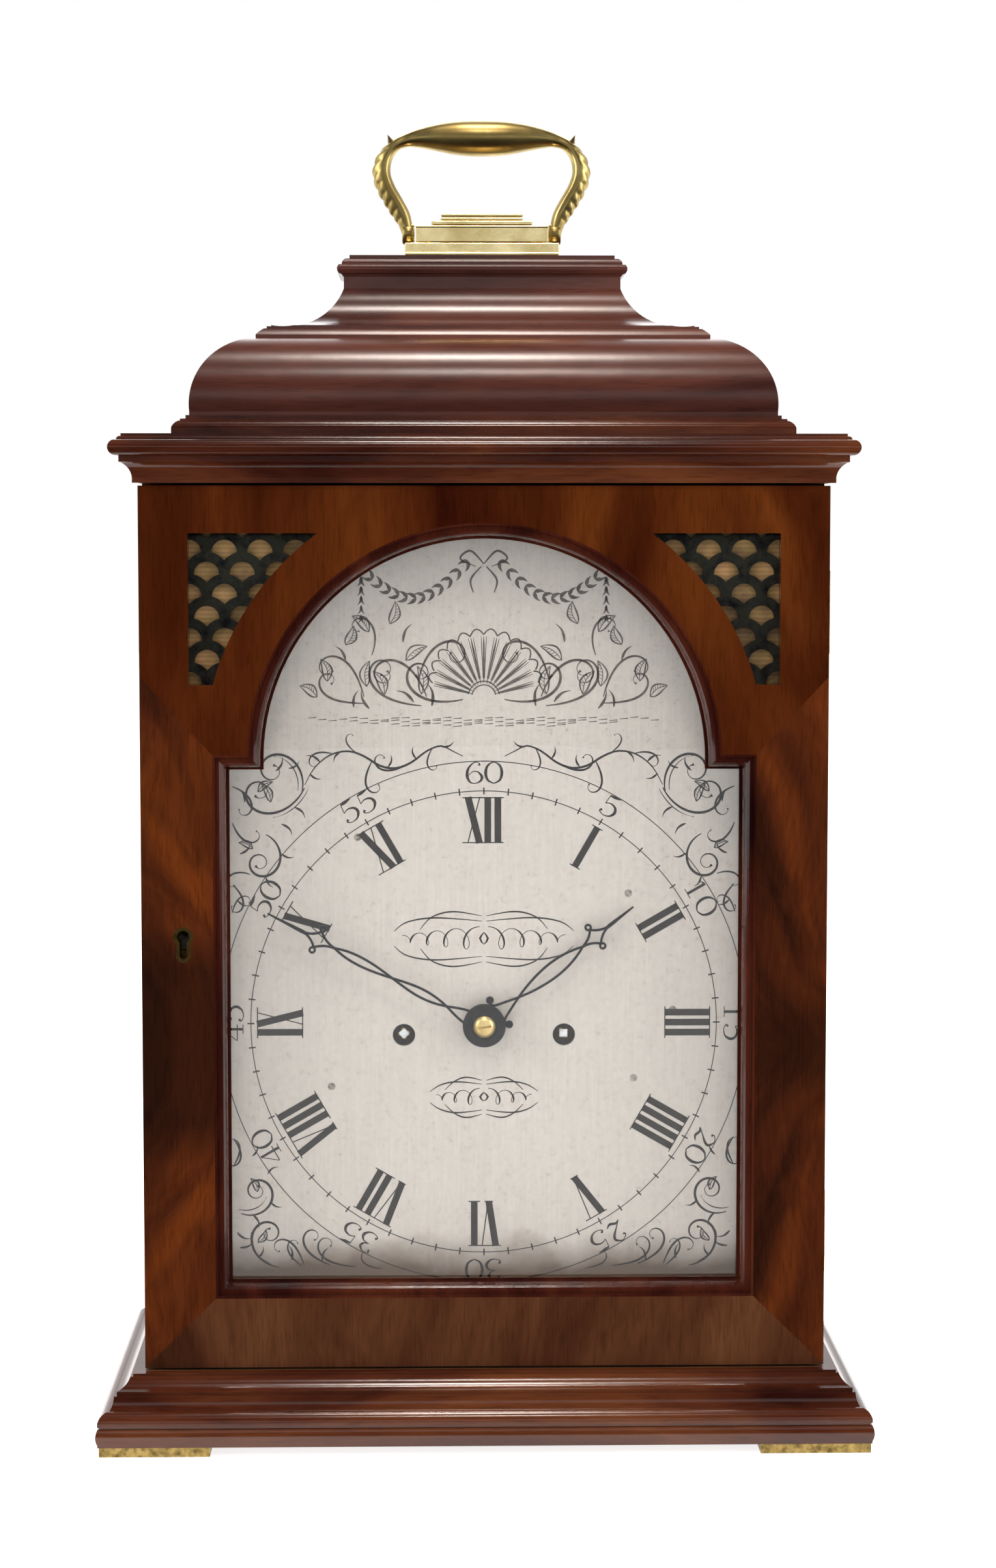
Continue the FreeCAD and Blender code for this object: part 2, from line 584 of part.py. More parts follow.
def make_sides():
    fret_face = HALF - FRET_DEPTH
    blank = box(X_INNER, HALF, Y_SIDE_FRONT, Y_BACK, BASE_TOP, Z_TOP)
    blank = blank.cut(prism_x(side_opening(0), X_INNER - 1, HALF + 1))
    blank = blank.cut(prism_x(side_opening(FRET_LAP), X_INNER - 1, fret_face))
    right = blank
    for z in FRONT_HINGES:
        right = right.cut(leaf_recess(HALF - FRONT_LEAF_REACH, HALF + 1, Y_SIDE_FRONT - 1,
                                      Y_SIDE_FRONT + HINGE_LEAF, z))
    keep("side_right", right)
    keep("side_left", mirrored(blank).cut(staple_plate()))
    low = side_opening(0)[0]
    high = BASE_TOP + SIDE_FRET_BOTTOM + SIDE_FRET_HEIGHT + SIDE_FRET_WIDTH / 2
    back = fret_face - FRET_THICKNESS
    plate = prism_x(side_opening(FRET_LAP), back, fret_face)
    holes = scale_holes(low[0], low[0] + SIDE_FRET_WIDTH, low[1], high,
                        lambda steps: prism_x(steps, back - 1, fret_face + 1))
    window = prism_x(side_opening(0), back - 1, fret_face + 1)
    fret = plate.cut(holes.common(window))
    keep("side_frets", fret, mirrored(fret))
    silk = prism_x(side_opening(FRET_LAP), back - SILK_THICKNESS, back)
    keep("side_silks", silk, mirrored(silk))


def make_rails():
    top_rail = box(-HALF, HALF, Y_FRONT, Y_SIDE_FRONT, Z_CORNICE, Z_TOP)
    low = box(-X_INNER, X_INNER, Y_BACK - RAIL_THICKNESS, Y_BACK, BASE_TOP, BASE_TOP + LOWER_RAIL_HEIGHT)
    high = box(-X_INNER, X_INNER, Y_BACK - RAIL_THICKNESS, Y_BACK,
               Z_TOP - TOP_BOARD - UPPER_RAIL_HEIGHT, Z_TOP - TOP_BOARD)
    keep("case_rails", top_rail, low, high)
    keep("top_board", box(-X_INNER, X_INNER, Y_SIDE_FRONT, Y_BACK, Z_TOP - TOP_BOARD, Z_TOP))


def make_cornice():
    low = Z_TOP
    step = four_sided([(STEP_INSET, low), (STEP_INSET, low + 2.6), ((STEP_INSET + 1.2, low + 4.4),
                       (STEP_INSET + 3.2, low + 5.4)), (STEP_INSET + 3.2, low + 6.0),
                       (STEP_INSET + 5.2, low + 6.2), (STEP_INSET + 5.2, Z_OVOLO)])
    keep("cornice", *three_sided(cornice_profile(), Y_BACK), hollowed(step, MID_STEP_INSET + TIER_WALL))


def make_bell_top():
    low = Z_OVOLO + OVOLO_FILLET
    ovolo = four_sided([(OVOLO_INSET, Z_OVOLO), (OVOLO_INSET, low),
                        ((OVOLO_INSET + 0.333 * OVOLO_WIDTH, low + 0.747 * OVOLO_HEIGHT),
                         (OVOLO_INSET + OVOLO_WIDTH, Z_MID_STEP))])
    keep("bell_lower", hollowed(ovolo, MID_STEP_INSET + TIER_WALL))
    edge = MID_STEP_INSET + 0.3
    rise = MID_STEP_HEIGHT
    width = MID_STEP_WIDTH
    step = four_sided([(edge, Z_MID_STEP), (edge, Z_MID_STEP + 0.25 * rise),
                       ((edge + 0.35 * width, Z_MID_STEP + 0.55 * rise),
                        (edge + 0.75 * width, Z_MID_STEP + 0.8 * rise)),
                       (edge + width, Z_MID_STEP + 0.82 * rise), (edge + width, Z_CAVETTO)])
    keep("bell_mid_step", hollowed(step, MID_STEP_INSET + TIER_WALL))
    span = NECK_INSET - CAVETTO_INSET
    neck = Z_CAVETTO + CAVETTO_HEIGHT
    upper = four_sided([(CAVETTO_INSET, Z_CAVETTO), (CAVETTO_INSET, Z_CAVETTO + 0.5),
                        ((CAVETTO_INSET + 0.71 * span, Z_CAVETTO + 0.33 * CAVETTO_HEIGHT),
                         (NECK_INSET, neck)), (NECK_INSET, Z_CAP)])
    keep("bell_upper", hollowed(upper, NECK_INSET + TIER_WALL))
    out = NECK_INSET - CAP_PROUD
    high = Z_CAP + CAP_HEIGHT
    cap = four_sided([(NECK_INSET - 0.2, Z_CAP), (NECK_INSET - 0.8, Z_CAP + 0.9), (out + 0.7, Z_CAP + 1.3),
                      ((out, Z_CAP + 3.0), (out + 0.7, Z_CAP + 4.7)), (out + 1.8, Z_CAP + 5.0),
                      ((out + 2.4, Z_CAP + 6.4), (out + 4.0, Z_CAP + 7.2)), (out + 4.8, Z_CAP + 7.2),
                      (out + 4.8, high)])
    keep("bell_cap", cap)


# ---- Handle --------------------------------------------------------------
def make_handle_plate():
    y = Y_CASE_MIDDLE
    z = Z_HANDLE + PLATE_STRIP
    body_top = z + PLATE_BODY_HEIGHT
    strip = box(-PLATE_LENGTH / 2, PLATE_LENGTH / 2, y - PLATE_DEPTH / 2, y + PLATE_DEPTH / 2, Z_HANDLE, z)
    body = box(-PLATE_BODY_LENGTH / 2, PLATE_BODY_LENGTH / 2, y - PLATE_BODY_DEPTH / 2,
               y + PLATE_BODY_DEPTH / 2, z, body_top)
    half = PLATE_TOP_LENGTH / 2
    cove = PLATE_TOP_HEIGHT
    top = prism_y([(-half - cove, body_top), (half + cove, body_top), (half + cove, body_top + 0.35 * cove),
                   ((half + 0.3 * cove, body_top + 0.5 * cove), (half, body_top + cove)),
                   (-half, body_top + cove), ((-half - 0.3 * cove, body_top + 0.5 * cove),
                                              (-half - cove, body_top + 0.35 * cove))],
                  y - PLATE_TOP_DEPTH / 2, y + PLATE_TOP_DEPTH / 2)
    plate = fused([strip, body, top])
    plate = plate.cut(rod_x(y, Z_PIVOT, BAIL_PIVOT_R + RUN_PLAY, -HALF, HALF))
    keep("handle_plate", plate)


def loft_ring(path, sizes):
    """Solid through elliptical rings: each point of path (x, z, slope) with half width and depth."""
    rings = []
    for (x, z, slope), (half_width, half_depth) in zip(path, sizes):
        along = math.radians(slope)
        normal = FreeCAD.Vector(math.cos(along), 0, math.sin(along))
        width_way = FreeCAD.Vector(-normal.z, 0, normal.x)
        centre = FreeCAD.Vector(x, Y_CASE_MIDDLE, z)
        big = centre.add(FreeCAD.Vector(0, half_depth, 0))
        if half_width >= half_depth:
            ellipse = Part.Ellipse(centre.add(width_way * half_width), big, centre)
        else:
            ellipse = Part.Ellipse(big, centre.add(width_way * half_width), centre)
        rings.append(Part.Wire([ellipse.toShape()]))
    return Part.makeLoft(rings, True, False)


def bail_arm():
    """Left arm, from the foot pad up its belly to the shoulder, and its pivot."""
    z = Z_PIVOT
    foot = -PLATE_BODY_LENGTH / 2 - ARM_CLEAR - ARM_WIDTH / 2
    rise = BAIL_RISE
    points = [(foot, z), (foot, z + 4.0), (foot - 0.6, z + 0.20 * rise),
              (-BAIL_BELLY_HALF + 3.0, z + 0.38 * rise), (-BAIL_BELLY_HALF, z + 0.58 * rise),
              (-BAIL_BELLY_HALF + 1.4, z + 0.76 * rise), (-BAIL_SHOULDER_HALF + 3.6, z + 0.90 * rise),
              (-BAIL_SHOULDER_HALF + 9.0, z + rise - 0.6)]
    widths = [ARM_WIDTH / 2, ARM_WIDTH / 2, 2.6, 3.4, 3.7, 3.5, 3.0, 2.6]
    depths = [ARM_DEPTH / 2, ARM_DEPTH / 2, 3.6, 4.2, 4.4, 4.2, 3.6, 2.9]
    path = []
    for i, (x, height) in enumerate(points):
        before = points[max(i - 1, 0)]
        after = points[min(i + 1, len(points) - 1)]
        path.append((x, height, math.degrees(math.atan2(after[1] - before[1], after[0] - before[0]))))
    arm = loft_ring(path, list(zip(widths, depths)))
    pivot = rod_x(Y_CASE_MIDDLE, z, BAIL_PIVOT_R, foot, foot + ARM_WIDTH / 2 + 6.0)
    shoulder = Part.makeSphere(2.9, FreeCAD.Vector(-BAIL_SHOULDER_HALF + 2.4, Y_CASE_MIDDLE, z + rise - 1.0))
    eye = rod_x(Y_CASE_MIDDLE, z, BAIL_EYE_R, foot - ARM_WIDTH / 2, foot + ARM_WIDTH / 2)
    return fused([arm, pivot, eye, shoulder])


def make_bail():
    z = Z_PIVOT + BAIL_RISE
    reach = BAIL_SHOULDER_HALF - 3.0
    thin = GRIP_END_R
    grip_line = [(-reach, 0), (-reach, thin), (-reach + 4.0, thin + 0.8), (-reach + 7.0, thin - 0.4),
                 ((0, GRIP_R), (reach - 7.0, thin - 0.4)), (reach - 4.0, thin + 0.8),
                 (reach, thin), (reach, 0)]
    face = Part.Face(outline(grip_line, lambda x, r: FreeCAD.Vector(x, Y_CASE_MIDDLE, z + r)))
    grip = face.revolve(FreeCAD.Vector(0, Y_CASE_MIDDLE, z), FreeCAD.Vector(1, 0, 0), 360)
    arm = bail_arm()
    keep("handle_bail", fused([arm, mirrored(arm), grip]))


# ---- Front door ----------------------------------------------------------
def opening(offset):
    """Break-arch outline of the door's opening, drawn in by the offset."""
    half = OPENING_HALF - offset
    low = Z_OPENING + offset
    shoulder = Z_SHOULDER - offset
    radius = ARCH_RADIUS - offset
    spring = math.sqrt(radius ** 2 - (shoulder - Z_ARCH) ** 2)
    return [(-half, low), (half, low), (half, shoulder), (spring, shoulder),
            ((0.0, Z_ARCH + radius), (-spring, shoulder)), (-half, shoulder)]


def spandrel(side, grow):
    """Opening over the arch's shoulder, grown by the lap of the fret behind it."""
    x_out = HALF - SPANDREL_EDGE + grow
    high = Z_DOOR_TOP - SPANDREL_TOP + grow
    low = Z_DOOR_TOP - SPANDREL_TOP - SPANDREL_HEIGHT - grow
    radius = SPANDREL_RADIUS - grow
    x_low = math.sqrt(radius ** 2 - (low - Z_ARCH) ** 2)
    x_high = math.sqrt(radius ** 2 - (high - Z_ARCH) ** 2)
    angle = (math.atan2(low - Z_ARCH, x_low) + math.atan2(high - Z_ARCH, x_high)) / 2
    middle = (radius * math.cos(angle), Z_ARCH + radius * math.sin(angle))
    steps = [(x_out, low), (x_low, low), (middle, (x_high, high)), (x_out, high)]
    steps = moved_steps(steps, lambda p: (side * p[0], p[1]))
    return steps


def door_blank(steps):
    """A member of the door: its outline through the door's thickness, less the opening."""
    blank = prism_y(steps, Y_FRONT, Y_DOOR_BACK)
    return blank.cut(prism_y(opening(0), Y_FRONT - 1, Y_DOOR_BACK + 1))


def keyhole(grow):
    """Round hole with a slot below it, as steps in X and Z."""
    x = X_KEYHOLE
    z = Z_KEYHOLE
    r = KEYHOLE_R + grow
    half = KEYHOLE_SLOT / 2 + grow
    side = -math.sqrt(r ** 2 - half ** 2)
    low = -KEYHOLE_DROP - grow
    return [(x - half, z + side), ((x, z + r), (x + half, z + side)), (x + half, z + low + half),
            ((x, z + low), (x - half, z + low + half))]


def lock_box():
    x = -HALF + LOCK_EDGE
    return box(x, x + LOCK_WIDTH, Y_DOOR_BACK - LOCK_DEPTH, Y_DOOR_BACK,
               Z_LOCK - LOCK_HEIGHT / 2, Z_LOCK + LOCK_HEIGHT / 2)


def hinge_recessed(member):
    """The member less the rooms of the front hinges' door leaves."""
    for z in FRONT_HINGES:
        member = member.cut(leaf_recess(HALF - FRONT_LEAF_REACH, HALF + 1, Y_DOOR_BACK - HINGE_LEAF,
                                        Y_DOOR_BACK + 1, z))
    return member


def make_door_members():
    low = Z_DOOR_BOTTOM
    joint = Z_SHOULDER + HEAD_JOINT_RISE
    left = door_blank([(-HALF, low), (-OPENING_HALF, Z_OPENING), (-OPENING_HALF, Z_SHOULDER), (-HALF, joint)])
    left = left.cut(lock_box()).cut(prism_y(keyhole(ESCUTCHEON_RIM), Y_FRONT - 1, Y_DOOR_BACK))
    right = door_blank([(HALF, low), (OPENING_HALF, Z_OPENING), (OPENING_HALF, Z_SHOULDER), (HALF, joint)])
    head = door_blank([(-HALF, joint), (-OPENING_HALF, Z_SHOULDER), (OPENING_HALF, Z_SHOULDER),
                       (HALF, joint), (HALF, Z_DOOR_TOP), (-HALF, Z_DOOR_TOP)])
    for side in (-1, 1):
        head = head.cut(prism_y(spandrel(side, 0), Y_FRONT - 1, Y_DOOR_BACK + 1))
        head = head.cut(prism_y(spandrel(side, FRET_LAP), Y_FRONT + FRET_DEPTH, Y_DOOR_BACK + 1))
    rail = door_blank([(-HALF, low), (HALF, low), (OPENING_HALF, Z_OPENING), (-OPENING_HALF, Z_OPENING)])
    keep("door_stile_left", left)
    keep("door_stile_right", hinge_recessed(right))
    keep("door_bottom_rail", rail)
    keep("door_head", hinge_recessed(head))


def make_sight_moulding():
    """Ovolo with a fillet each side, mitred round the opening by ruled steps."""
    steps = [(0.9, 0.0), (0.9, 1.4), (1.5, 1.4)]
    for k in range(1, 7):
        angle = math.radians(15 * k)
        steps.append((1.5 + 3.4 * math.sin(angle), 1.4 + 4.6 * (1 - math.cos(angle))))
    steps += [(4.9, 7.2), (SIGHT_WIDTH, 7.2), (SIGHT_WIDTH, SIGHT_DEPTH)]
    ring = prism_y(opening(0), Y_FRONT, Y_FRONT + SIGHT_DEPTH)
    for (offset_a, depth_a), (offset_b, depth_b) in zip(steps, steps[1:]):
        if depth_b - depth_a < 1e-6:
            continue
        near = outline(opening(offset_a), lambda x, z: at_xz(x, z, Y_FRONT + depth_a))
        far = outline(opening(offset_b), lambda x, z: at_xz(x, z, Y_FRONT + depth_b))
        ring = ring.cut(Part.makeLoft([near, far], True, True))
    keep("sight_moulding", ring)
    glass = prism_y(opening(GLASS_CLEARANCE), Y_FRONT + SIGHT_DEPTH, Y_FRONT + SIGHT_DEPTH + GLASS_THICKNESS)
    keep("door_glass", glass)


def make_spandrels():
    front = Y_FRONT + FRET_DEPTH
    back = front + FRET_THICKNESS
    plate = prism_y(spandrel(1, FRET_LAP), front, back)
    low = Z_DOOR_TOP - SPANDREL_TOP - SPANDREL_HEIGHT
    holes = scale_holes(HALF - SPANDREL_EDGE - 4 * SCALE_PITCH, HALF - SPANDREL_EDGE, low,
                        low + SPANDREL_HEIGHT, lambda steps: prism_y(steps, front - 1, back + 1))
    fret = plate.cut(holes.common(prism_y(spandrel(1, 0), front - 1, back + 1)))
    keep("spandrel_frets", fret, mirrored(fret))
    silk = prism_y(spandrel(1, FRET_LAP), back, back + SILK_THICKNESS)
    keep("spandrel_silks", silk, mirrored(silk))


# ---- Lock ----------------------------------------------------------------
def staple_plate():
    return box(-HALF + 1.5, -X_INNER, Y_SIDE_FRONT, Y_SIDE_FRONT + HINGE_LEAF,
               Z_LOCK - STAPLE_PLATE / 2, Z_LOCK + STAPLE_PLATE / 2)


def make_lock():
    z = Z_LOCK
    bolt_y = Y_DOOR_BACK - 0.6 * LOCK_DEPTH
    bolt_front = bolt_y - BOLT_THICKNESS / 2
    bolt_back = bolt_y + BOLT_THICKNESS / 2
    bolt_rest = STAPLE_X + STAPLE_GAP + STAPLE_WIRE
    half = BOLT_HEIGHT / 2
    channel = box(bolt_rest - BOLT_TRAVEL - BOLT_PLAY, bolt_rest + BOLT_LENGTH + BOLT_PLAY,
                  bolt_front - BOLT_PLAY, bolt_back + BOLT_PLAY, z - half - BOLT_PLAY, z + half + BOLT_PLAY)
    reach = bolt_front - STAPLE_PLAY - STAPLE_BAR
    tall = half + STAPLE_PLAY + STAPLE_WIRE
    room = STAPLE_ROOM
    slot = box(STAPLE_X - room, STAPLE_X + STAPLE_WIRE + room, reach - room, Y_DOOR_BACK + 1,
               z - tall - 1.5 * room, z + tall + 1.5 * room)
    case = lock_box().cut(channel).cut(slot)
    case = case.cut(prism_y(keyhole(0), Y_DOOR_BACK - LOCK_DEPTH - 1, bolt_front))
    keep("front_lock", case)
    bolt = box(bolt_rest, bolt_rest + BOLT_LENGTH, bolt_front, bolt_back, z - half, z + half)
    keep("front_lock_bolt", bolt)
    prongs = []
    for side in (-1, 1):
        inner = z + side * (half + STAPLE_PLAY)
        outer = z + side * tall
        prongs.append(box(STAPLE_X, STAPLE_X + STAPLE_WIRE, reach, Y_SIDE_FRONT + HINGE_LEAF,
                          min(inner, outer), max(inner, outer)))
    bar = box(STAPLE_X, STAPLE_X + STAPLE_WIRE, reach, reach + STAPLE_BAR, z - tall, z + tall)
    keep("front_lock_staple", fused([staple_plate()] + prongs + [bar]))
    face = Y_DOOR_BACK - LOCK_DEPTH
    liner = prism_y(keyhole(ESCUTCHEON_RIM), Y_FRONT, face).cut(prism_y(keyhole(0), Y_FRONT - 1, face + 1))
    keep("keyhole_escutcheon", liner)


# ---- Hinges --------------------------------------------------------------
def strip(x0, x1, y0, y1):
    """Upright strip of leaf, which is then given its two heights."""
    return lambda z0, z1: box(x0, x1, y0, y1, z0, z1)


def hinge_half(x, y, z, leaf, join, first, trim=None):
    """One leaf with its share of the knuckles. The trim is the room of the other leaf's."""
    share = HINGE_LENGTH / KNUCKLE_COUNT
    low = z - HINGE_LENGTH / 2
    plain = leaf(low, low + HINGE_LENGTH)
    shapes = [plain.cut(trim) if trim else plain]
    for k in range(first, KNUCKLE_COUNT, 2):
        z0 = low + k * share + KNUCKLE_GAP / 2
        z1 = low + (k + 1) * share - KNUCKLE_GAP / 2
        shapes.append(join(z0, z1))
        shapes.append(rod_z(x, y, KNUCKLE_R, z0, z1))
    bore = rod_z(x, y, HINGE_PIN_R + PIN_PLAY, low - 1, low + HINGE_LENGTH + 1)
    return fused(shapes).cut(bore)


def hinge_pin(x, y, z):
    return rod_z(x, y, HINGE_PIN_R, z - HINGE_LENGTH / 2, z + HINGE_LENGTH / 2)


def make_front_hinges():
    x = FRONT_AXIS_X
    y = FRONT_AXIS_Y
    root = HALF - FRONT_LEAF_REACH
    clear = HALF
    web = x - KNUCKLE_R / 2
    door_y = (Y_DOOR_BACK - HINGE_LEAF, Y_DOOR_BACK)
    case_y = (Y_SIDE_FRONT, Y_SIDE_FRONT + HINGE_LEAF)
    door = []
    case = []
    for z in FRONT_HINGES:
        door.append(hinge_half(x, y, z, strip(root, clear, *door_y), strip(root, web, *door_y), 1))
        case.append(hinge_half(x, y, z, strip(root, clear, *case_y), strip(root, web, *case_y), 0))
        case.append(hinge_pin(x, y, z))
    keep("front_hinge_door_leaves", *door)
    keep("front_hinge_case_leaves", *case)


def back_pocket(z, grow):
    """Room for the knuckles in the wood at the back door's hinge."""
    reach = HINGE_LENGTH / 2 + grow
    return rod_z(BACK_AXIS_X, BACK_AXIS_Y, KNUCKLE_R + grow, z - reach, z + reach)


def make_back_hinges():
    x = BACK_AXIS_X
    y = BACK_AXIS_Y
    door_x = (X_BACK_EDGE - HINGE_LEAF, X_BACK_EDGE)
    case_x = (X_INNER, X_INNER + HINGE_LEAF)
    join_y = (Y_BACK - 5.0, y)
    door = []
    case = []
    for z in BACK_HINGES:
        trim = back_pocket(z, KNUCKLE_GAP)
        door_leaf = strip(*door_x, Y_BACK_LEAF, Y_BACK)
        case_leaf = strip(*case_x, Y_BACK_LEAF, Y_BACK)
        door.append(hinge_half(x, y, z, door_leaf, strip(*door_x, *join_y), 1, trim))
        case.append(hinge_half(x, y, z, case_leaf, strip(*case_x, *join_y), 0, trim))
        case.append(hinge_pin(x, y, z))
    keep("back_hinge_door_leaves", *door)
    keep("back_hinge_case_leaves", *case)


# ---- Back door -----------------------------------------------------------
def back_window(offset):
    half = X_BACK_EDGE - BACK_STILE - offset
    low = Z_BACK_DOOR + BACK_STILE + offset
    spring = Z_BACK_DOOR_TOP - BACK_STILE - half - offset
    return [(-half, low), (half, low), (half, spring), ((0, spring + half), (-half, spring))]


def make_back_door():
    half = X_BACK_EDGE
    y0 = Y_BACK - RAIL_THICKNESS
    frame = box(-half, half, y0, Y_BACK, Z_BACK_DOOR, Z_BACK_DOOR_TOP)
    frame = frame.cut(prism_y(back_window(0), y0 - 1, Y_BACK + 1))
    frame = frame.cut(prism_y(back_window(-BACK_GLASS_REBATE), y0 - 1, y0 + BACK_GLASS_REBATE))
    for z in BACK_HINGES:
        frame = frame.cut(leaf_recess(half - HINGE_LEAF, half + 1, Y_BACK_LEAF, Y_BACK, z))
        frame = frame.cut(back_pocket(z, 0.3))
    keep("back_door_frame", frame)
    seat = y0 + BACK_GLASS_REBATE
    glass = prism_y(back_window(GLASS_CLEARANCE - BACK_GLASS_REBATE), seat - GLASS_THICKNESS, seat)
    keep("back_door_glass", glass)
    x = -X_INNER - SIDE_THICKNESS / 2
    z = (Z_BACK_DOOR + Z_BACK_DOOR_TOP) / 2
    r = CATCH_WIDTH / 2
    reach = CATCH_LENGTH - r
    catch = prism_y([(x - r, z - reach + r), ((x, z - reach), (x + r, z - reach + r)), (x + r, z),
                     ((x, z + r), (x - r, z))], Y_BACK + 0.3, Y_BACK + 0.3 + CATCH_THICKNESS)
    catch = catch.cut(rod_y(x, z, CATCH_SCREW_R + RUN_PLAY, Y_BACK, Y_BASE_BACK))
    keep("back_door_catch", catch)
    NODES["side_left"][0] = NODES["side_left"][0].cut(rod_y(x, z, CATCH_SCREW_R, Y_BACK - 8, Y_BACK + 1))
    screw = rod_y(x, z, CATCH_SCREW_R, Y_BACK - 8, Y_BACK + 0.3 + CATCH_THICKNESS)
    NODES["back_hinge_case_leaves"].append(screw)
    for z in BACK_HINGES:
        right = NODES["side_right"][0]
        right = right.cut(leaf_recess(X_INNER - 1, X_INNER + HINGE_LEAF, Y_BACK_LEAF, Y_BACK, z))
        NODES["side_right"][0] = right.cut(back_pocket(z, 0.3))


# ---- Dial ----------------------------------------------------------------
def dial_outline(offset):
    half = DIAL_HALF - offset
    low = Z_OPENING - DIAL_EDGE + offset
    shoulder = Z_SHOULDER + DIAL_EDGE - offset
    radius = ARCH_RADIUS + DIAL_ARCH_EXTRA - offset
    spring = math.sqrt(radius ** 2 - (shoulder - Z_ARCH) ** 2)
    return [(-half, low), (half, low), (half, shoulder), (spring, shoulder),
            ((0.0, Z_ARCH + radius), (-spring, shoulder)), (-half, shoulder)]


# Dial feet as seen from the front: right and up of the hands' centre.
DIAL_FEET = ((55.9, 50.4), (-48.7, 72.4), (73.2, 4.9), (-59.1, -24.7), (58.1, -21.8))


def make_dial():
    plate = prism_y(dial_outline(0), Y_DIAL, Y_DIAL_BACK)
    plate = plate.cut(rod_y(0, Z_CENTRE, DIAL_HOLE_R, Y_DIAL - 1, Y_DIAL_BACK + 1))
    for side in (-1, 1):
        x = side * WINDING_SPREAD
        plate = plate.cut(rod_y(x, Z_WINDING, WINDING_HOLE_R, Y_DIAL - 1, Y_DIAL_BACK + 1))
    feet = []
    for x, rise in DIAL_FEET:
        plate = plate.cut(rod_y(x, Z_CENTRE + rise, RIVET_R, Y_DIAL - 1, Y_DIAL_BACK + 1))
        shank = rod_y(x, Z_CENTRE + rise, RIVET_R, Y_DIAL, Y_DIAL_BACK)
        feet.append(shank.fuse(rod_y(x, Z_CENTRE + rise, FOOT_PILLAR_R, Y_DIAL_BACK, Y_PLATE)))
    keep("dial_plate", plate)
    keep("dial_feet", *feet)
    mask = box(-X_INNER, X_INNER, Y_DIAL - MASK_THICKNESS, Y_DIAL, BASE_TOP, Z_TOP - TOP_BOARD)
    keep("dial_mask", mask.cut(prism_y(dial_outline(MASK_LAP), Y_DIAL - MASK_THICKNESS - 1, Y_DIAL + 1)))


# ---- Movement ------------------------------------------------------------
def gear(teeth, module, x, z, y0, y1, towards=None, gap=False, root=0.40, tip=0.16, reach=0.95, depth=1.35,
         bore=0.0):
    """Spur wheel about x, z. A tooth, or with gap a space, points at the place towards."""
    pitch = 2 * math.pi / teeth
    pitch_r = teeth * module / 2
    start = math.atan2(towards[1] - z, towards[0] - x) if towards else 0.0
    if gap:
        start += pitch / 2
    rings = [(pitch_r - depth * module, root + 0.08), (pitch_r, root), (pitch_r + reach * module, tip)]
    points = []
    for k in range(teeth):
        middle = start + k * pitch
        for radius, share in rings:
            angle = middle - share * pitch / 2
            points.append((x + radius * math.cos(angle), z + radius * math.sin(angle)))
        for radius, share in reversed(rings):
            angle = middle + share * pitch / 2
            points.append((x + radius * math.cos(angle), z + radius * math.sin(angle)))
    wheel = prism_y(points, y0, y1)
    return wheel.cut(rod_y(x, z, bore, y0 - 1, y1 + 1)) if bore else wheel


def crossed_out(wheel, x, z, hub, rim, y0, y1, arms=4):
    """The wheel with openings between its arms."""
    half = 1.6
    for k in range(arms):
        start = 2 * math.pi * k / arms
        end = 2 * math.pi * (k + 1) / arms
        corners = []
        for radius, angle, side in ((hub, start, 1), (rim, start, 1), (rim, end, -1), (hub, end, -1)):
            shift = side * math.asin(half / radius)
            corners.append((x + radius * math.cos(angle + shift), z + radius * math.sin(angle + shift)))
        middle = (start + end) / 2
        far = (x + rim * math.cos(middle), z + rim * math.sin(middle))
        near = (x + hub * math.cos(middle), z + hub * math.sin(middle))
        window = [corners[0], corners[1], (far, corners[2]), corners[3], (near, corners[0])]
        wheel = wheel.cut(prism_y(window, y0 - 1, y1 + 1))
    return wheel


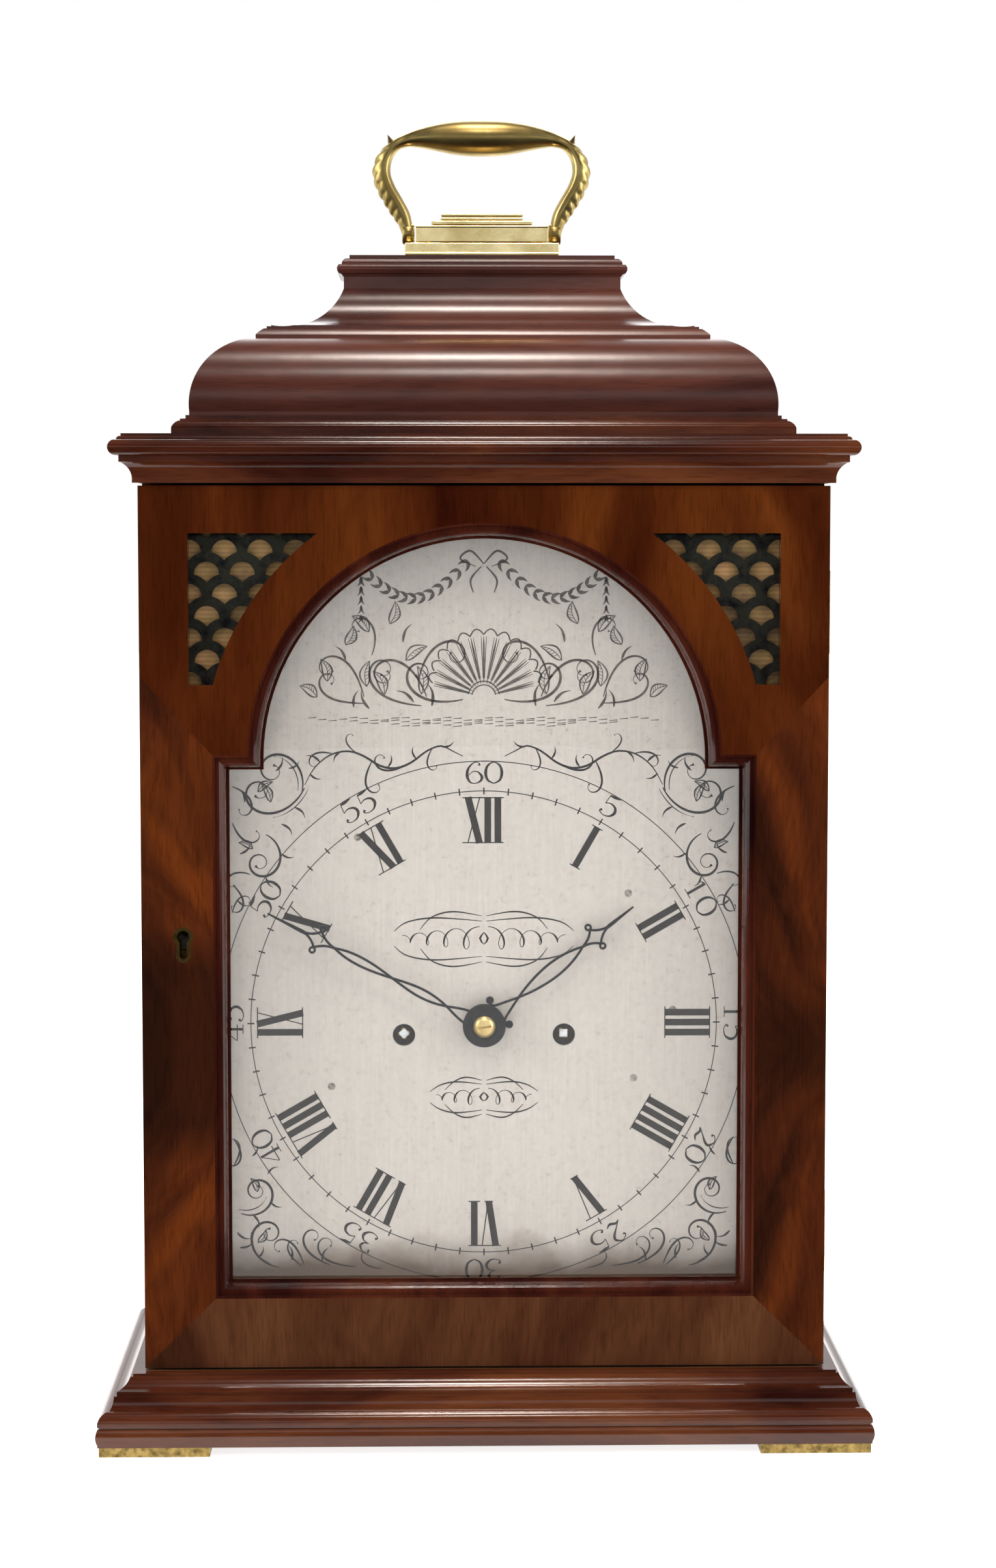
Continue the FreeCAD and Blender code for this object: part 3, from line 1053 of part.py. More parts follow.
def make_frame():
    low = Z_SEAT
    high = Z_CENTRE + PLATE_HEAD
    outline_points = [(-PLATE_HALF, low), (PLATE_HALF, low), (PLATE_HALF, high), (-PLATE_HALF, high)]
    front = prism_y(outline_points, Y_PLATE, Y_TRAIN)
    back = prism_y(outline_points, Y_BACK_PLATE, Y_COCK)
    pillars = []
    margin = PILLAR_R + 3.0
    places = [(-PLATE_HALF + margin, low + margin), (PLATE_HALF - margin, low + margin),
              (-PLATE_HALF + margin, high - margin), (PLATE_HALF - margin, high - margin),
              (0.0, low + margin)]
    pin_r = 0.55 * PILLAR_R
    for x, z in places:
        body = rod_y(x, z, PILLAR_R, Y_TRAIN, Y_BACK_PLATE)
        ends = rod_y(x, z, pin_r, Y_PLATE - 3, Y_COCK + 3)
        pillars.append(body.fuse(ends))
        front = front.cut(rod_y(x, z, pin_r, Y_PLATE - 1, Y_TRAIN + 1))
        back = back.cut(rod_y(x, z, pin_r, Y_BACK_PLATE - 1, Y_COCK + 1))
    for x, z, r in PIVOTS_FRONT:
        front = front.cut(rod_y(x, z, r + RUN_PLAY, Y_PLATE - 1, Y_TRAIN + 1))
    for x, z, r in PIVOTS_BACK:
        back = back.cut(rod_y(x, z, r + RUN_PLAY, Y_BACK_PLATE - 1, Y_COCK + 1))
    keep("front_plate", front)
    keep("back_plate", back)
    board = box(-X_INNER, X_INNER, Y_PLATE - 4, Y_COCK + 2, low - SEAT_THICKNESS, low)
    cleats = []
    bolts = []
    for side in (-1, 1):
        inner = side * (X_INNER - CLEAT)
        x0 = min(inner, side * X_INNER)
        x1 = max(inner, side * X_INNER)
        cleats.append(box(x0, x1, Y_PLATE - 4, Y_COCK + 2, low - SEAT_THICKNESS - CLEAT,
                          low - SEAT_THICKNESS))
        x = side * (PLATE_HALF - margin)
        y = (Y_TRAIN + Y_BACK_PLATE) / 2
        shank = rod_z(x, y, BOLT_R, low - SEAT_THICKNESS, low + margin)
        head = rod_z(x, y, 2 * BOLT_R, low - SEAT_THICKNESS - 3, low - SEAT_THICKNESS)
        bolts.append(shank.fuse(head))
        board = board.cut(rod_z(x, y, BOLT_R, low - SEAT_THICKNESS - 1, low + 1))
    pillars[0] = pillars[0].cut(bolts[0])
    pillars[1] = pillars[1].cut(bolts[1])
    keep("pillars_and_bolts", *(pillars + bolts))
    keep("seat_board", board, *cleats)


def fusee_radius(y):
    """Radius of the cone at the place y along its arbor."""
    share = (y - Y_GREAT + FUSEE_LENGTH) / FUSEE_LENGTH
    return FUSEE_SMALL_R + (FUSEE_BIG_R - FUSEE_SMALL_R) * share ** 0.8


def make_fusee(name, side, teeth):
    """Grooved cone on its great wheel, with the winding square at the front of the arbor."""
    x = side * WINDING_SPREAD
    z = Z_WINDING
    front = Y_GREAT - FUSEE_LENGTH
    profile = [(0.0, front)]
    for k in range(int(FUSEE_LENGTH / FUSEE_RIDGE)):
        y = front + k * FUSEE_RIDGE
        profile.append((fusee_radius(y), y))
        profile.append((fusee_radius(y) - FUSEE_GROOVE, y + FUSEE_RIDGE / 2))
    profile += [(FUSEE_BIG_R, Y_GREAT), (0.0, Y_GREAT)]
    face = Part.Face(outline(profile, lambda r, y: FreeCAD.Vector(x + r, y, z)))
    cone = face.revolve(FreeCAD.Vector(x, 0, z), FreeCAD.Vector(0, 1, 0), 360)
    great = gear(teeth, TRAIN_MODULE_1, x, z, Y_GREAT, Y_GREAT + 2.2, towards=(0.0, Z_CENTRE))
    arbor = rod_y(x, z, FUSEE_ARBOR_R, Y_DIAL_BACK + 3.0, Y_COCK)
    half = WINDING_SQUARE / 2
    square = box(x - half, x + half, Y_DIAL + SQUARE_SETBACK, Y_DIAL_BACK + 4.0, z - half, z + half)
    square = turned(square, 35.0 if side < 0 else 4.0, x, z)
    keep(name, fused([cone, great, arbor, square]))


def make_barrel(name, side):
    x = side * BARREL_SPREAD
    back = Y_BARREL + BARREL_LENGTH
    rim_r = BARREL_R + BARREL_RIM
    drum = rod_y(x, BARREL_Z, BARREL_R, Y_BARREL, back)
    rims = [rod_y(x, BARREL_Z, rim_r, Y_BARREL - BARREL_RIM_THICKNESS, Y_BARREL),
            rod_y(x, BARREL_Z, rim_r, back, back + BARREL_RIM_THICKNESS)]
    arbor = rod_y(x, BARREL_Z, FUSEE_ARBOR_R, Y_PLATE, Y_COCK)
    keep(name, fused([drum] + rims + [arbor]))


def make_lines():
    """One straight run of gut from each barrel to its fusee, along their outer sides."""
    barrel_r = BARREL_R + LINE_LIFT
    fusee_r = fusee_radius(Y_LINE) + LINE_LIFT
    a = FreeCAD.Vector(BARREL_SPREAD, Y_LINE, BARREL_Z)
    b = FreeCAD.Vector(WINDING_SPREAD, Y_LINE, Z_WINDING)
    way = b.sub(a)
    angle = math.atan2(way.z, way.x) - math.acos((barrel_r - fusee_r) / way.Length)
    out = FreeCAD.Vector(math.cos(angle), 0, math.sin(angle))
    run = rod_between(a.add(out * barrel_r), b.add(out * fusee_r), LINE_R)
    keep("gut_lines", run, mirrored(run))


def make_going_train():
    pinion = dict(root=0.36, tip=0.12, reach=0.75, depth=1.45)
    y = Y_CENTRE_WHEEL
    centre = gear(CENTRE_TEETH, TRAIN_MODULE_2, 0.0, Z_CENTRE, y, y + WHEEL_THICKNESS,
                  towards=(THIRD_X, THIRD_Z))
    centre = crossed_out(centre, 0.0, Z_CENTRE, 6.0, 22.0, y, y + WHEEL_THICKNESS)
    leaves = gear(CENTRE_PINION, TRAIN_MODULE_1, 0.0, Z_CENTRE, Y_GREAT - 1.0, Y_GREAT + 4.0,
                  towards=(WINDING_SPREAD, Z_WINDING), gap=True, **pinion)
    arbor = rod_y(0.0, Z_CENTRE, ARBOR_R, Y_COLLET, Y_BACK_PLATE - 0.5)
    tail = rod_y(0.0, Z_CENTRE, PIVOT_R, Y_BACK_PLATE - 0.5, Y_COCK)
    keep("centre_wheel", fused([centre, leaves, arbor, tail]))
    y = Y_THIRD_WHEEL
    third = gear(THIRD_TEETH, TRAIN_MODULE_3, THIRD_X, THIRD_Z, y, y + WHEEL_THICKNESS,
                 towards=(0.0, ESCAPE_Z))
    third = crossed_out(third, THIRD_X, THIRD_Z, 5.0, 18.0, y, y + WHEEL_THICKNESS)
    leaves = gear(THIRD_PINION, TRAIN_MODULE_2, THIRD_X, THIRD_Z, Y_CENTRE_WHEEL - 1.5,
                  Y_CENTRE_WHEEL + WHEEL_THICKNESS + 1.5, towards=(0.0, Z_CENTRE), gap=True, **pinion)
    arbor = rod_y(THIRD_X, THIRD_Z, ARBOR_R, Y_TRAIN + 0.5, Y_BACK_PLATE - 0.5)
    pivots = rod_y(THIRD_X, THIRD_Z, PIVOT_R, Y_PLATE, Y_COCK)
    keep("third_wheel", fused([third, leaves, arbor, pivots]))
    keep("escape_wheel", escape_wheel(pinion))


def escape_wheel(pinion):
    y = Y_ESCAPE
    points = []
    step = 2 * math.pi / ESCAPE_TEETH
    root = ESCAPE_R - 3.2
    for k in range(ESCAPE_TEETH):
        start = math.pi / 2 + (k + 0.5) * step
        for radius, angle in ((root, start - 0.40 * step), (ESCAPE_R, start + 0.18 * step),
                              (ESCAPE_R, start + 0.24 * step), (root, start + 0.28 * step)):
            points.append((radius * math.cos(angle), ESCAPE_Z + radius * math.sin(angle)))
    wheel = prism_y(points, y, y + WHEEL_THICKNESS)
    wheel = crossed_out(wheel, 0.0, ESCAPE_Z, 4.0, 12.5, y, y + WHEEL_THICKNESS)
    leaves = gear(ESCAPE_PINION, TRAIN_MODULE_3, 0.0, ESCAPE_Z, Y_THIRD_WHEEL - 1.5,
                  Y_THIRD_WHEEL + WHEEL_THICKNESS + 1.5, towards=(THIRD_X, THIRD_Z), gap=True, **pinion)
    arbor = rod_y(0.0, ESCAPE_Z, 1.0, Y_TRAIN + 0.5, Y_BACK_PLATE - 0.5)
    pivots = rod_y(0.0, ESCAPE_Z, PIVOT_R, Y_PLATE, Y_COCK)
    return fused([wheel, leaves, arbor, pivots])


def make_pallets():
    """Anchor over the escape wheel, its arbor, and the crutch behind the back plate."""
    y = Y_ESCAPE - 0.7
    y1 = Y_ESCAPE + WHEEL_THICKNESS + 0.7
    reach = ESCAPE_R + PALLET_CLEAR
    shapes = []
    for side in (-1, 1):
        lean = math.radians(52)
        nib_x = side * reach * math.sin(lean)
        nib_z = ESCAPE_Z + reach * math.cos(lean)
        steps = [(0.0, Z_PALLETS + 3.0), (side * 9.0, Z_PALLETS - 1.0), (nib_x + side * 4.0, nib_z + 3.0),
                 (nib_x + side * 1.2, nib_z + 0.2), (nib_x - side * 0.6, nib_z + 1.4),
                 (side * 8.0, Z_PALLETS - 5.5), (0.0, Z_PALLETS - 3.0)]
        shapes.append(prism_y(steps, y, y1))
    arbor = rod_y(0.0, Z_PALLETS, ARBOR_R, Y_TRAIN + 0.5, Y_COCK + 4.0)
    pivots = rod_y(0.0, Z_PALLETS, PIVOT_R, Y_PLATE, Y_COCK + COCK_STAND + COCK_PLATE)
    low = Z_PALLETS - CRUTCH_LENGTH
    crutch = box(-1.6, 1.6, Y_COCK + 1.0, Y_COCK + 2.6, low, Z_PALLETS)
    gap = ROD_R + 0.35
    for side in (-1, 1):
        x0 = min(side * gap, side * (gap + 1.4))
        shapes.append(box(x0, x0 + 1.4, Y_COCK + 1.0, Y_PENDULUM + 3.0, low - 1.5, low + 1.5))
    web = box(-gap - 1.4, gap + 1.4, Y_COCK + 1.0, Y_COCK + 2.6, low - 1.5, low + 1.5)
    keep("pallets", fused(shapes + [arbor, pivots, crutch, web]))


def make_cock():
    """Bridge on the back plate that carries the pallet arbor and the pendulum."""
    y = Y_COCK + COCK_STAND
    z = Z_PALLETS
    low = z - COCK_LOW
    high = z + COCK_HIGH
    bridge = box(-COCK_HALF, COCK_HALF, y, y + COCK_PLATE, low, high)
    feet = [box(side * COCK_HALF - 4.0, side * COCK_HALF + 4.0, Y_COCK, y + COCK_PLATE, low, high)
            for side in (-1, 1)]
    arm = box(-5.0, 5.0, y, Y_PENDULUM + 4.0, high - 4.5, high)
    cock = fused([bridge, arm] + feet)
    cock = cock.cut(rod_y(0.0, z, PIVOT_R + RUN_PLAY, y - 1, y + COCK_PLATE + 1))
    slot = box(-1.0, 1.0, Y_PENDULUM - 3.2, Y_PENDULUM + 3.2, z, high + 1.0)
    keep("back_cock", cock.cut(slot))


def make_pendulum():
    z = Z_PALLETS
    bob_z = z - PENDULUM_LENGTH
    y = Y_PENDULUM
    rest = z + COCK_HIGH + SUSPENSION_GAP
    block = box(-2.5, 2.5, y - 3.0, y + 3.0, rest, rest + 2.2)
    spring = box(-0.15, 0.15, y - 2.5, y + 2.5, z - 10.0, rest + 1.0)
    chops = box(-2.0, 2.0, y - 3.0, y + 3.0, z - 14.0, z - 9.0)
    rod = rod_z(0.0, y, ROD_R, bob_z - BOB_R - 9.0, z - 13.0)
    half = BOB_THICKNESS / 2
    radius = (BOB_R ** 2 + half ** 2) / (2 * half)
    lens = Part.makeSphere(radius, FreeCAD.Vector(0, y - half + radius, bob_z))
    lens = lens.common(Part.makeSphere(radius, FreeCAD.Vector(0, y + half - radius, bob_z)))
    nut = rod_z(0.0, y, 4.0, bob_z - BOB_R - 6.0, bob_z - BOB_R - 2.5)
    keep("pendulum", fused([block, spring, chops, rod, lens, nut]))


def make_bell():
    """Bell mouth down over the movement, on a stand from the back plate, and its hammer."""
    mouth = Z_CENTRE + BELL_RISE
    y = (Y_TRAIN + Y_BACK_PLATE) / 2
    outer = [(0.0, mouth + BELL_HEIGHT), ((0.78 * BELL_R, mouth + 0.62 * BELL_HEIGHT), (BELL_R, mouth)),
             (BELL_R - BELL_WALL, mouth),
             ((0.78 * (BELL_R - BELL_WALL), mouth + 0.62 * (BELL_HEIGHT - BELL_WALL)),
              (0.0, mouth + BELL_HEIGHT - BELL_WALL))]
    face = Part.Face(outline(outer, lambda r, height: FreeCAD.Vector(r, y, height)))
    bell = face.revolve(FreeCAD.Vector(0, y, 0), FreeCAD.Vector(0, 0, 1), 360)
    top = mouth + BELL_HEIGHT
    bell = bell.cut(rod_z(0.0, y, BELL_STUD_R, mouth, top + 1))
    arm_top = top + 1.0 + BELL_POST_THICKNESS
    post_back = Y_COCK + BELL_POST_THICKNESS
    post_far = BELL_POST_X + BELL_POST_WIDTH
    post = box(BELL_POST_X, post_far, Y_COCK, post_back, Z_CENTRE + PLATE_HEAD - 14.0, arm_top)
    arm = box(-BELL_POST_WIDTH / 2, post_far, y - BELL_POST_WIDTH / 2, post_back, top + 1.0, arm_top)
    stud = rod_z(0.0, y, BELL_STUD_R, top - 8.0, top + 1.0)
    nut = rod_z(0.0, y, 2.5 * BELL_STUD_R, top - 8.0, top - BELL_WALL - 0.5)
    keep("strike_bell", bell, fused([post, arm, stud, nut]))
    arbor = rod_y(HAMMER_X, HAMMER_Z, ARBOR_R, Y_TRAIN + 0.5, Y_BACK_PLATE - 0.5)
    pivots = rod_y(HAMMER_X, HAMMER_Z, PIVOT_R, Y_PLATE, Y_COCK)
    head_z = mouth + 3.0
    head_x = -BELL_R - HAMMER_GAP - 7.0
    shank = rod_between(at_xz(HAMMER_X, HAMMER_Z, y), at_xz(head_x + 3.5, head_z, y), ARBOR_R)
    head = rod_x(y, head_z, 3.5, head_x, head_x + 7.0)
    keep("strike_hammer", fused([arbor, pivots, shank, head]))


def make_motion_work():
    y = Y_PLATE - 3.2
    tooth = dict(root=0.40, tip=0.16, reach=0.9, depth=1.3)
    cannon = gear(MOTION_TEETH, MOTION_MODULE, 0.0, Z_CENTRE, y, y + WHEEL_THICKNESS,
                  towards=(MINUTE_X, MINUTE_Z), **tooth)
    pipe = rod_y(0.0, Z_CENTRE, 2.2, Y_MINUTE_HAND - 0.6, y + WHEEL_THICKNESS)
    cannon = fused([cannon, pipe]).cut(rod_y(0.0, Z_CENTRE, ARBOR_R + RUN_PLAY, Y_MINUTE_HAND - 2, Y_PLATE))
    collet = pipe_y(0.0, Z_CENTRE, COLLET_R, ARBOR_R + RUN_PLAY, Y_COLLET + 0.4, Y_MINUTE_HAND - 0.6)
    keep("cannon_pinion", cannon, collet)
    minute = gear(MOTION_TEETH, MOTION_MODULE, MINUTE_X, MINUTE_Z, y, y + WHEEL_THICKNESS,
                  towards=(0.0, Z_CENTRE), gap=True, **tooth)
    leaves = gear(MINUTE_PINION, HOUR_MODULE, MINUTE_X, MINUTE_Z, y - 4.2, y, towards=(0.0, Z_CENTRE),
                  gap=True, root=0.30, tip=0.08, reach=0.65, depth=1.45)
    arbor = rod_y(MINUTE_X, MINUTE_Z, ARBOR_R, y, Y_PLATE - 0.4)
    pivot = rod_y(MINUTE_X, MINUTE_Z, PIVOT_R, y - 4.6, Y_TRAIN)
    keep("minute_wheel", fused([minute, leaves, arbor, pivot]))
    y = y - 3.4
    hour = gear(HOUR_TEETH, HOUR_MODULE, 0.0, Z_CENTRE, y, y + WHEEL_THICKNESS, towards=(MINUTE_X, MINUTE_Z),
                **tooth)
    pipe = rod_y(0.0, Z_CENTRE, 3.4, Y_HOUR_HAND - 0.6, y + WHEEL_THICKNESS)
    bore = rod_y(0.0, Z_CENTRE, 2.2 + RUN_PLAY, Y_HOUR_HAND - 2, Y_PLATE)
    keep("hour_wheel", fused([hour, pipe]).cut(bore))


# ---- Hands ---------------------------------------------------------------
def strand(points, width, y0, y1):
    """Curved strip of even width along a smooth line through the points."""
    spine = Part.BSplineCurve()
    spine.interpolate([at_xz(x, z, y0) for x, z in points])
    sides = ([], [])
    count = 6 * (len(points) - 1)
    first, last = spine.FirstParameter, spine.LastParameter
    for k in range(count + 1):
        t = first + (last - first) * k / count
        place = spine.value(t)
        way = spine.tangent(t)[0]
        across = FreeCAD.Vector(-way.z, 0, way.x)
        sides[0].append(place.add(across * (width / 2)))
        sides[1].append(place.sub(across * (width / 2)))
    left = Part.BSplineCurve()
    left.interpolate(sides[0])
    right = Part.BSplineCurve()
    right.interpolate(sides[1])
    edges = [left.toShape(), Part.makeLine(sides[0][-1], sides[1][-1]), right.toShape(),
             Part.makeLine(sides[1][0], sides[0][0])]
    face = Part.Face(Part.Wire(Part.__sortEdges__(edges)))
    return face.extrude(FreeCAD.Vector(0, y1 - y0, 0))


def looped_hand(length, boss_r, hole_r, start, loops, lozenge, y0):
    """Hand pointing to twelve: boss, two strands that cross and swell into loops, an open
    lozenge with a curl at each side, and a point. Places are right and up of the centre."""
    y1 = y0 + HAND_THICKNESS
    z = Z_CENTRE
    width = STRAND_WIDTH
    low, wide, neck, half = lozenge
    shapes = [rod_y(0.0, z, boss_r, y0, y1)]
    for side in (-1, 1):
        points = [(side * x, z + rise) for x, rise in start]
        way = -side
        for near, far, swell in loops:
            points.append((0.0, z + near))
            points.append((way * swell, z + near + 0.45 * (far - near)))
            way = -way
        shapes.append(strand(points + [(0.0, z + low)], width, y0, y1))
        bow = 0.28 * side * half
        corner = (side * half, z + wide)
        shapes.append(strand([(0.0, z + low - 0.6), (bow, z + (low + wide) / 2), corner], width, y0, y1))
        shapes.append(strand([corner, (bow, z + (wide + neck) / 2), (0.0, z + neck + 0.6)], width, y0, y1))
        curl_x = side * (half + CURL_R - 0.3)
        shapes.append(pipe_y(curl_x, z + wide, CURL_R, CURL_R - 0.85, y0, y1))
    shapes.append(prism_y([(-0.75, z + neck), (0.0, z + neck - 1.0), (0.75, z + neck), (0.3, z + length),
                           (-0.3, z + length)], y0, y1))
    return fused(shapes).cut(rod_y(0.0, z, hole_r, y0 - 1, y1 + 1))


def make_hands():
    hour = looped_hand(HOUR_HAND_LENGTH, HOUR_BOSS_R, HOUR_HOLE_R, HOUR_STRANDS, HOUR_LOOPS,
                       HOUR_LOZENGE, Y_HOUR_HAND)
    across, rise, ball_r = HOUR_BALLS
    balls = [rod_y(side * across, Z_CENTRE + rise, ball_r, Y_HOUR_HAND, Y_HOUR_HAND + HAND_THICKNESS)
             for side in (-1, 1)]
    keep("hour_hand", turned(fused([hour] + balls), HOUR_HAND_ANGLE, 0.0, Z_CENTRE))
    minute = looped_hand(MINUTE_HAND_LENGTH, BOSS_R, MINUTE_HOLE_R, MINUTE_STRANDS, MINUTE_LOOPS,
                         MINUTE_LOZENGE, Y_MINUTE_HAND)
    keep("minute_hand", turned(minute, MINUTE_HAND_ANGLE, 0.0, Z_CENTRE))


# ---- Build ---------------------------------------------------------------
def build():
    make_base()
    make_sides()
    make_rails()
    make_cornice()
    make_bell_top()
    make_handle_plate()
    make_bail()
    make_door_members()
    make_sight_moulding()
    make_spandrels()
    make_lock()
    make_front_hinges()
    make_back_hinges()
    make_back_door()
    make_dial()
    make_frame()
    make_fusee("going_fusee", 1, GREAT_TEETH)
    make_fusee("strike_fusee", -1, STRIKE_TEETH)
    make_barrel("going_barrel", 1)
    make_barrel("strike_barrel", -1)
    make_lines()
    make_going_train()
    make_pallets()
    make_cock()
    make_pendulum()
    make_bell()
    make_motion_work()
    make_hands()


build()
for name, shapes in NODES.items():
    whole = shapes[0] if len(shapes) == 1 else Part.makeCompound(shapes)
    whole.exportStep("parts/" + name + ".step")
    print(name, len(whole.Solids), "solids", round(sum(s.Volume for s in whole.Solids) / 1000, 2), "cm3")
print(len(NODES), "nodes")
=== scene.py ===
# %% [markdown]
# # A mahogany bracket clock
# The case, the movement and the joints come ready made in a CAD frame. This lesson gives them
# their looks: polished veneer, silvered brass, engraving filled with wax, silk, glass and gut.
# Every length is in metres in Blender, and is written here in millimetres, as a maker would.

# %% Load the frame
import bpy
import math
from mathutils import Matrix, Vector


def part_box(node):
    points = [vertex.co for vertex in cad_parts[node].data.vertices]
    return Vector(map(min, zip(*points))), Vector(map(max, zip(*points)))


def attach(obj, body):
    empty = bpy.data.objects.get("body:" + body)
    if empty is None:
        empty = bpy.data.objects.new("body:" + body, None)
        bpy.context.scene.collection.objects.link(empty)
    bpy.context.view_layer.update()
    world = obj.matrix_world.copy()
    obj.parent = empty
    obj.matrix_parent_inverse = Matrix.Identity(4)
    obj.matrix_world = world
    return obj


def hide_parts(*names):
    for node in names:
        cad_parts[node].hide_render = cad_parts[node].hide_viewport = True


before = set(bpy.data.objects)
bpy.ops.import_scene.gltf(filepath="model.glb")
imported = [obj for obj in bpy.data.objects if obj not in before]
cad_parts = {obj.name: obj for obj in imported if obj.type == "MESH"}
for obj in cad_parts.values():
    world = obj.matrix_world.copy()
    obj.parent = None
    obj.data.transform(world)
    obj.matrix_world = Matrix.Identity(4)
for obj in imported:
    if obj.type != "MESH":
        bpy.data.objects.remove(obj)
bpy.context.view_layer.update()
MM = 0.001

# %% [markdown]
# ## Places on the clock
# The engraving, the silk and the fittings must lie exactly on the parts that carry them, so
# their places are read from the frame's boxes, and not typed in again.

# %% Places
def span(node):
    """Lowest and highest corner of a part, in millimetres."""
    low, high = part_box(node)
    return [v / MM for v in low], [v / MM for v in high]


dial_low, dial_high = span("dial_plate")
DIAL_FACE = dial_low[1]
CENTRE_X, _, CENTRE_Z = (0.5 * (a + b) for a, b in zip(*span("hour_wheel")))
print("dial face at y", round(DIAL_FACE, 2), "hands turn about", round(CENTRE_X, 2), round(CENTRE_Z, 2))

# %% [markdown]
# ## One colour function and one node function
# Paint charts and screens give colours as sRGB hex, but a shader works with linear light, so one
# function turns one into the other. A second function adds any node, sets it and wires it, and
# the short ones after it are the few nodes that nearly every finish needs.

# %% Colour and node helpers
def linear(hex_colour):
    """An sRGB hex colour as the linear colour that the shaders use."""
    parts = [int(hex_colour[i:i + 2], 16) / 255 for i in (0, 2, 4)]
    return tuple(c / 12.92 if c <= 0.04045 else ((c + 0.055) / 1.055) ** 2.4 for c in parts) + (1.0,)


def put(tree, target, inputs):
    """Sets a node's inputs. Each is a value, a hex colour, or another node's output."""
    for name, value in inputs.items():
        socket = target.inputs[name]
        if isinstance(value, bpy.types.NodeSocket):
            tree.links.new(value, socket)
        else:
            socket.default_value = linear(value) if isinstance(value, str) else value


def node(tree, kind, inputs=None, **settings):
    """Adds one node, sets it and wires it."""
    new = tree.nodes.new("ShaderNode" + kind)
    for name, value in settings.items():
        setattr(new, name, value)
    put(tree, new, inputs or {})
    return new


def start_material(name):
    """An empty material with its output, a shader, and the place on the part that it colours."""
    material = bpy.data.materials.new(name)
    material.use_nodes = True
    tree = material.node_tree
    tree.nodes.clear()
    shader = node(tree, "BsdfPrincipled")
    node(tree, "OutputMaterial", {"Surface": shader.outputs["BSDF"]})
    return material, tree, shader, node(tree, "TexCoord").outputs["Object"]


def noise(tree, place, size, detail, rough=0.5, distortion=0.0):
    """Cloudy noise whose features are about size mm wide."""
    return node(tree, "TexNoise", {"Vector": place, "Scale": 1.0 / (size * MM), "Detail": detail,
                                   "Roughness": rough, "Distortion": distortion}).outputs


WAVE_SPEED = 6.283   # a wave texture repeats about this much faster than noise of the same scale


def bands(tree, place, size, distortion, way):
    """Straight bands, as of threads that lie about size mm apart."""
    return node(tree, "TexWave", {"Vector": place, "Scale": 1.0 / (size * MM) / WAVE_SPEED,
                                  "Distortion": distortion}, bands_direction=way).outputs["Fac"]


def ramp(tree, value, *stops):
    """Turns a value into a colour, by stops of (value, hex colour)."""
    new = node(tree, "ValToRGB", {"Fac": value})
    elements = new.color_ramp.elements
    while len(elements) < len(stops):
        elements.new(0.5)
    for element, (position, colour) in zip(elements, stops):
        element.position = position
        element.color = linear(colour)
    return new.outputs[0]


def calc(tree, operation, *values, **settings):
    return node(tree, "Math", dict(enumerate(values)), operation=operation, **settings).outputs[0]


def between(tree, value, low, high, to_low, to_high):
    """Maps a value from one range to another, and holds it at the ends."""
    return node(tree, "MapRange", {"Value": value, "From Min": low, "From Max": high,
                                   "To Min": to_low, "To Max": to_high}).outputs[0]


def stretched(tree, place, scale, **more):
    """A pattern on this place is drawn out along the axes whose scale is small."""
    return node(tree, "Mapping", {"Vector": place, "Scale": scale, **more}).outputs[0]


def blend(tree, share, under, over, how="MIX"):
    return node(tree, "Mix", {0: share, 6: under, 7: over}, data_type="RGBA", blend_type=how).outputs[2]


def glaze(tree, share, under, over):
    """One colour laid over another so that it can only darken it."""
    return blend(tree, share, under, over, "MULTIPLY")


def bump(tree, height, strength, depth):
    """Relief depth mm deep, that only bends the light."""
    return node(tree, "Bump", {"Height": height, "Strength": strength, "Distance": depth * MM}).outputs[0]


# %% [markdown]
# ## French-polished mahogany
# The case is oak or pine, covered with flame mahogany: thin veneer cut through the fork of a
# tree, where the figure runs up like a plume, then filled and polished with shellac. The eye
# sees three things: slow plumes from near black to orange, fine dark pores that follow the
# grain, and a clear glossy film over all of it. An image could give this, but noise stretched
# along the grain gives it in solid space, so it also wraps the mouldings without a seam. On the
# long stiles two leaves of veneer meet root to root, with the figure mirrored and darkest there.

# %% Mahogany
def along(grain, scale):
    """Scales that draw a pattern out along the grain, which follows axis 0, 1 or 2."""
    return [scale if axis == grain else 1.0 for axis in range(3)]


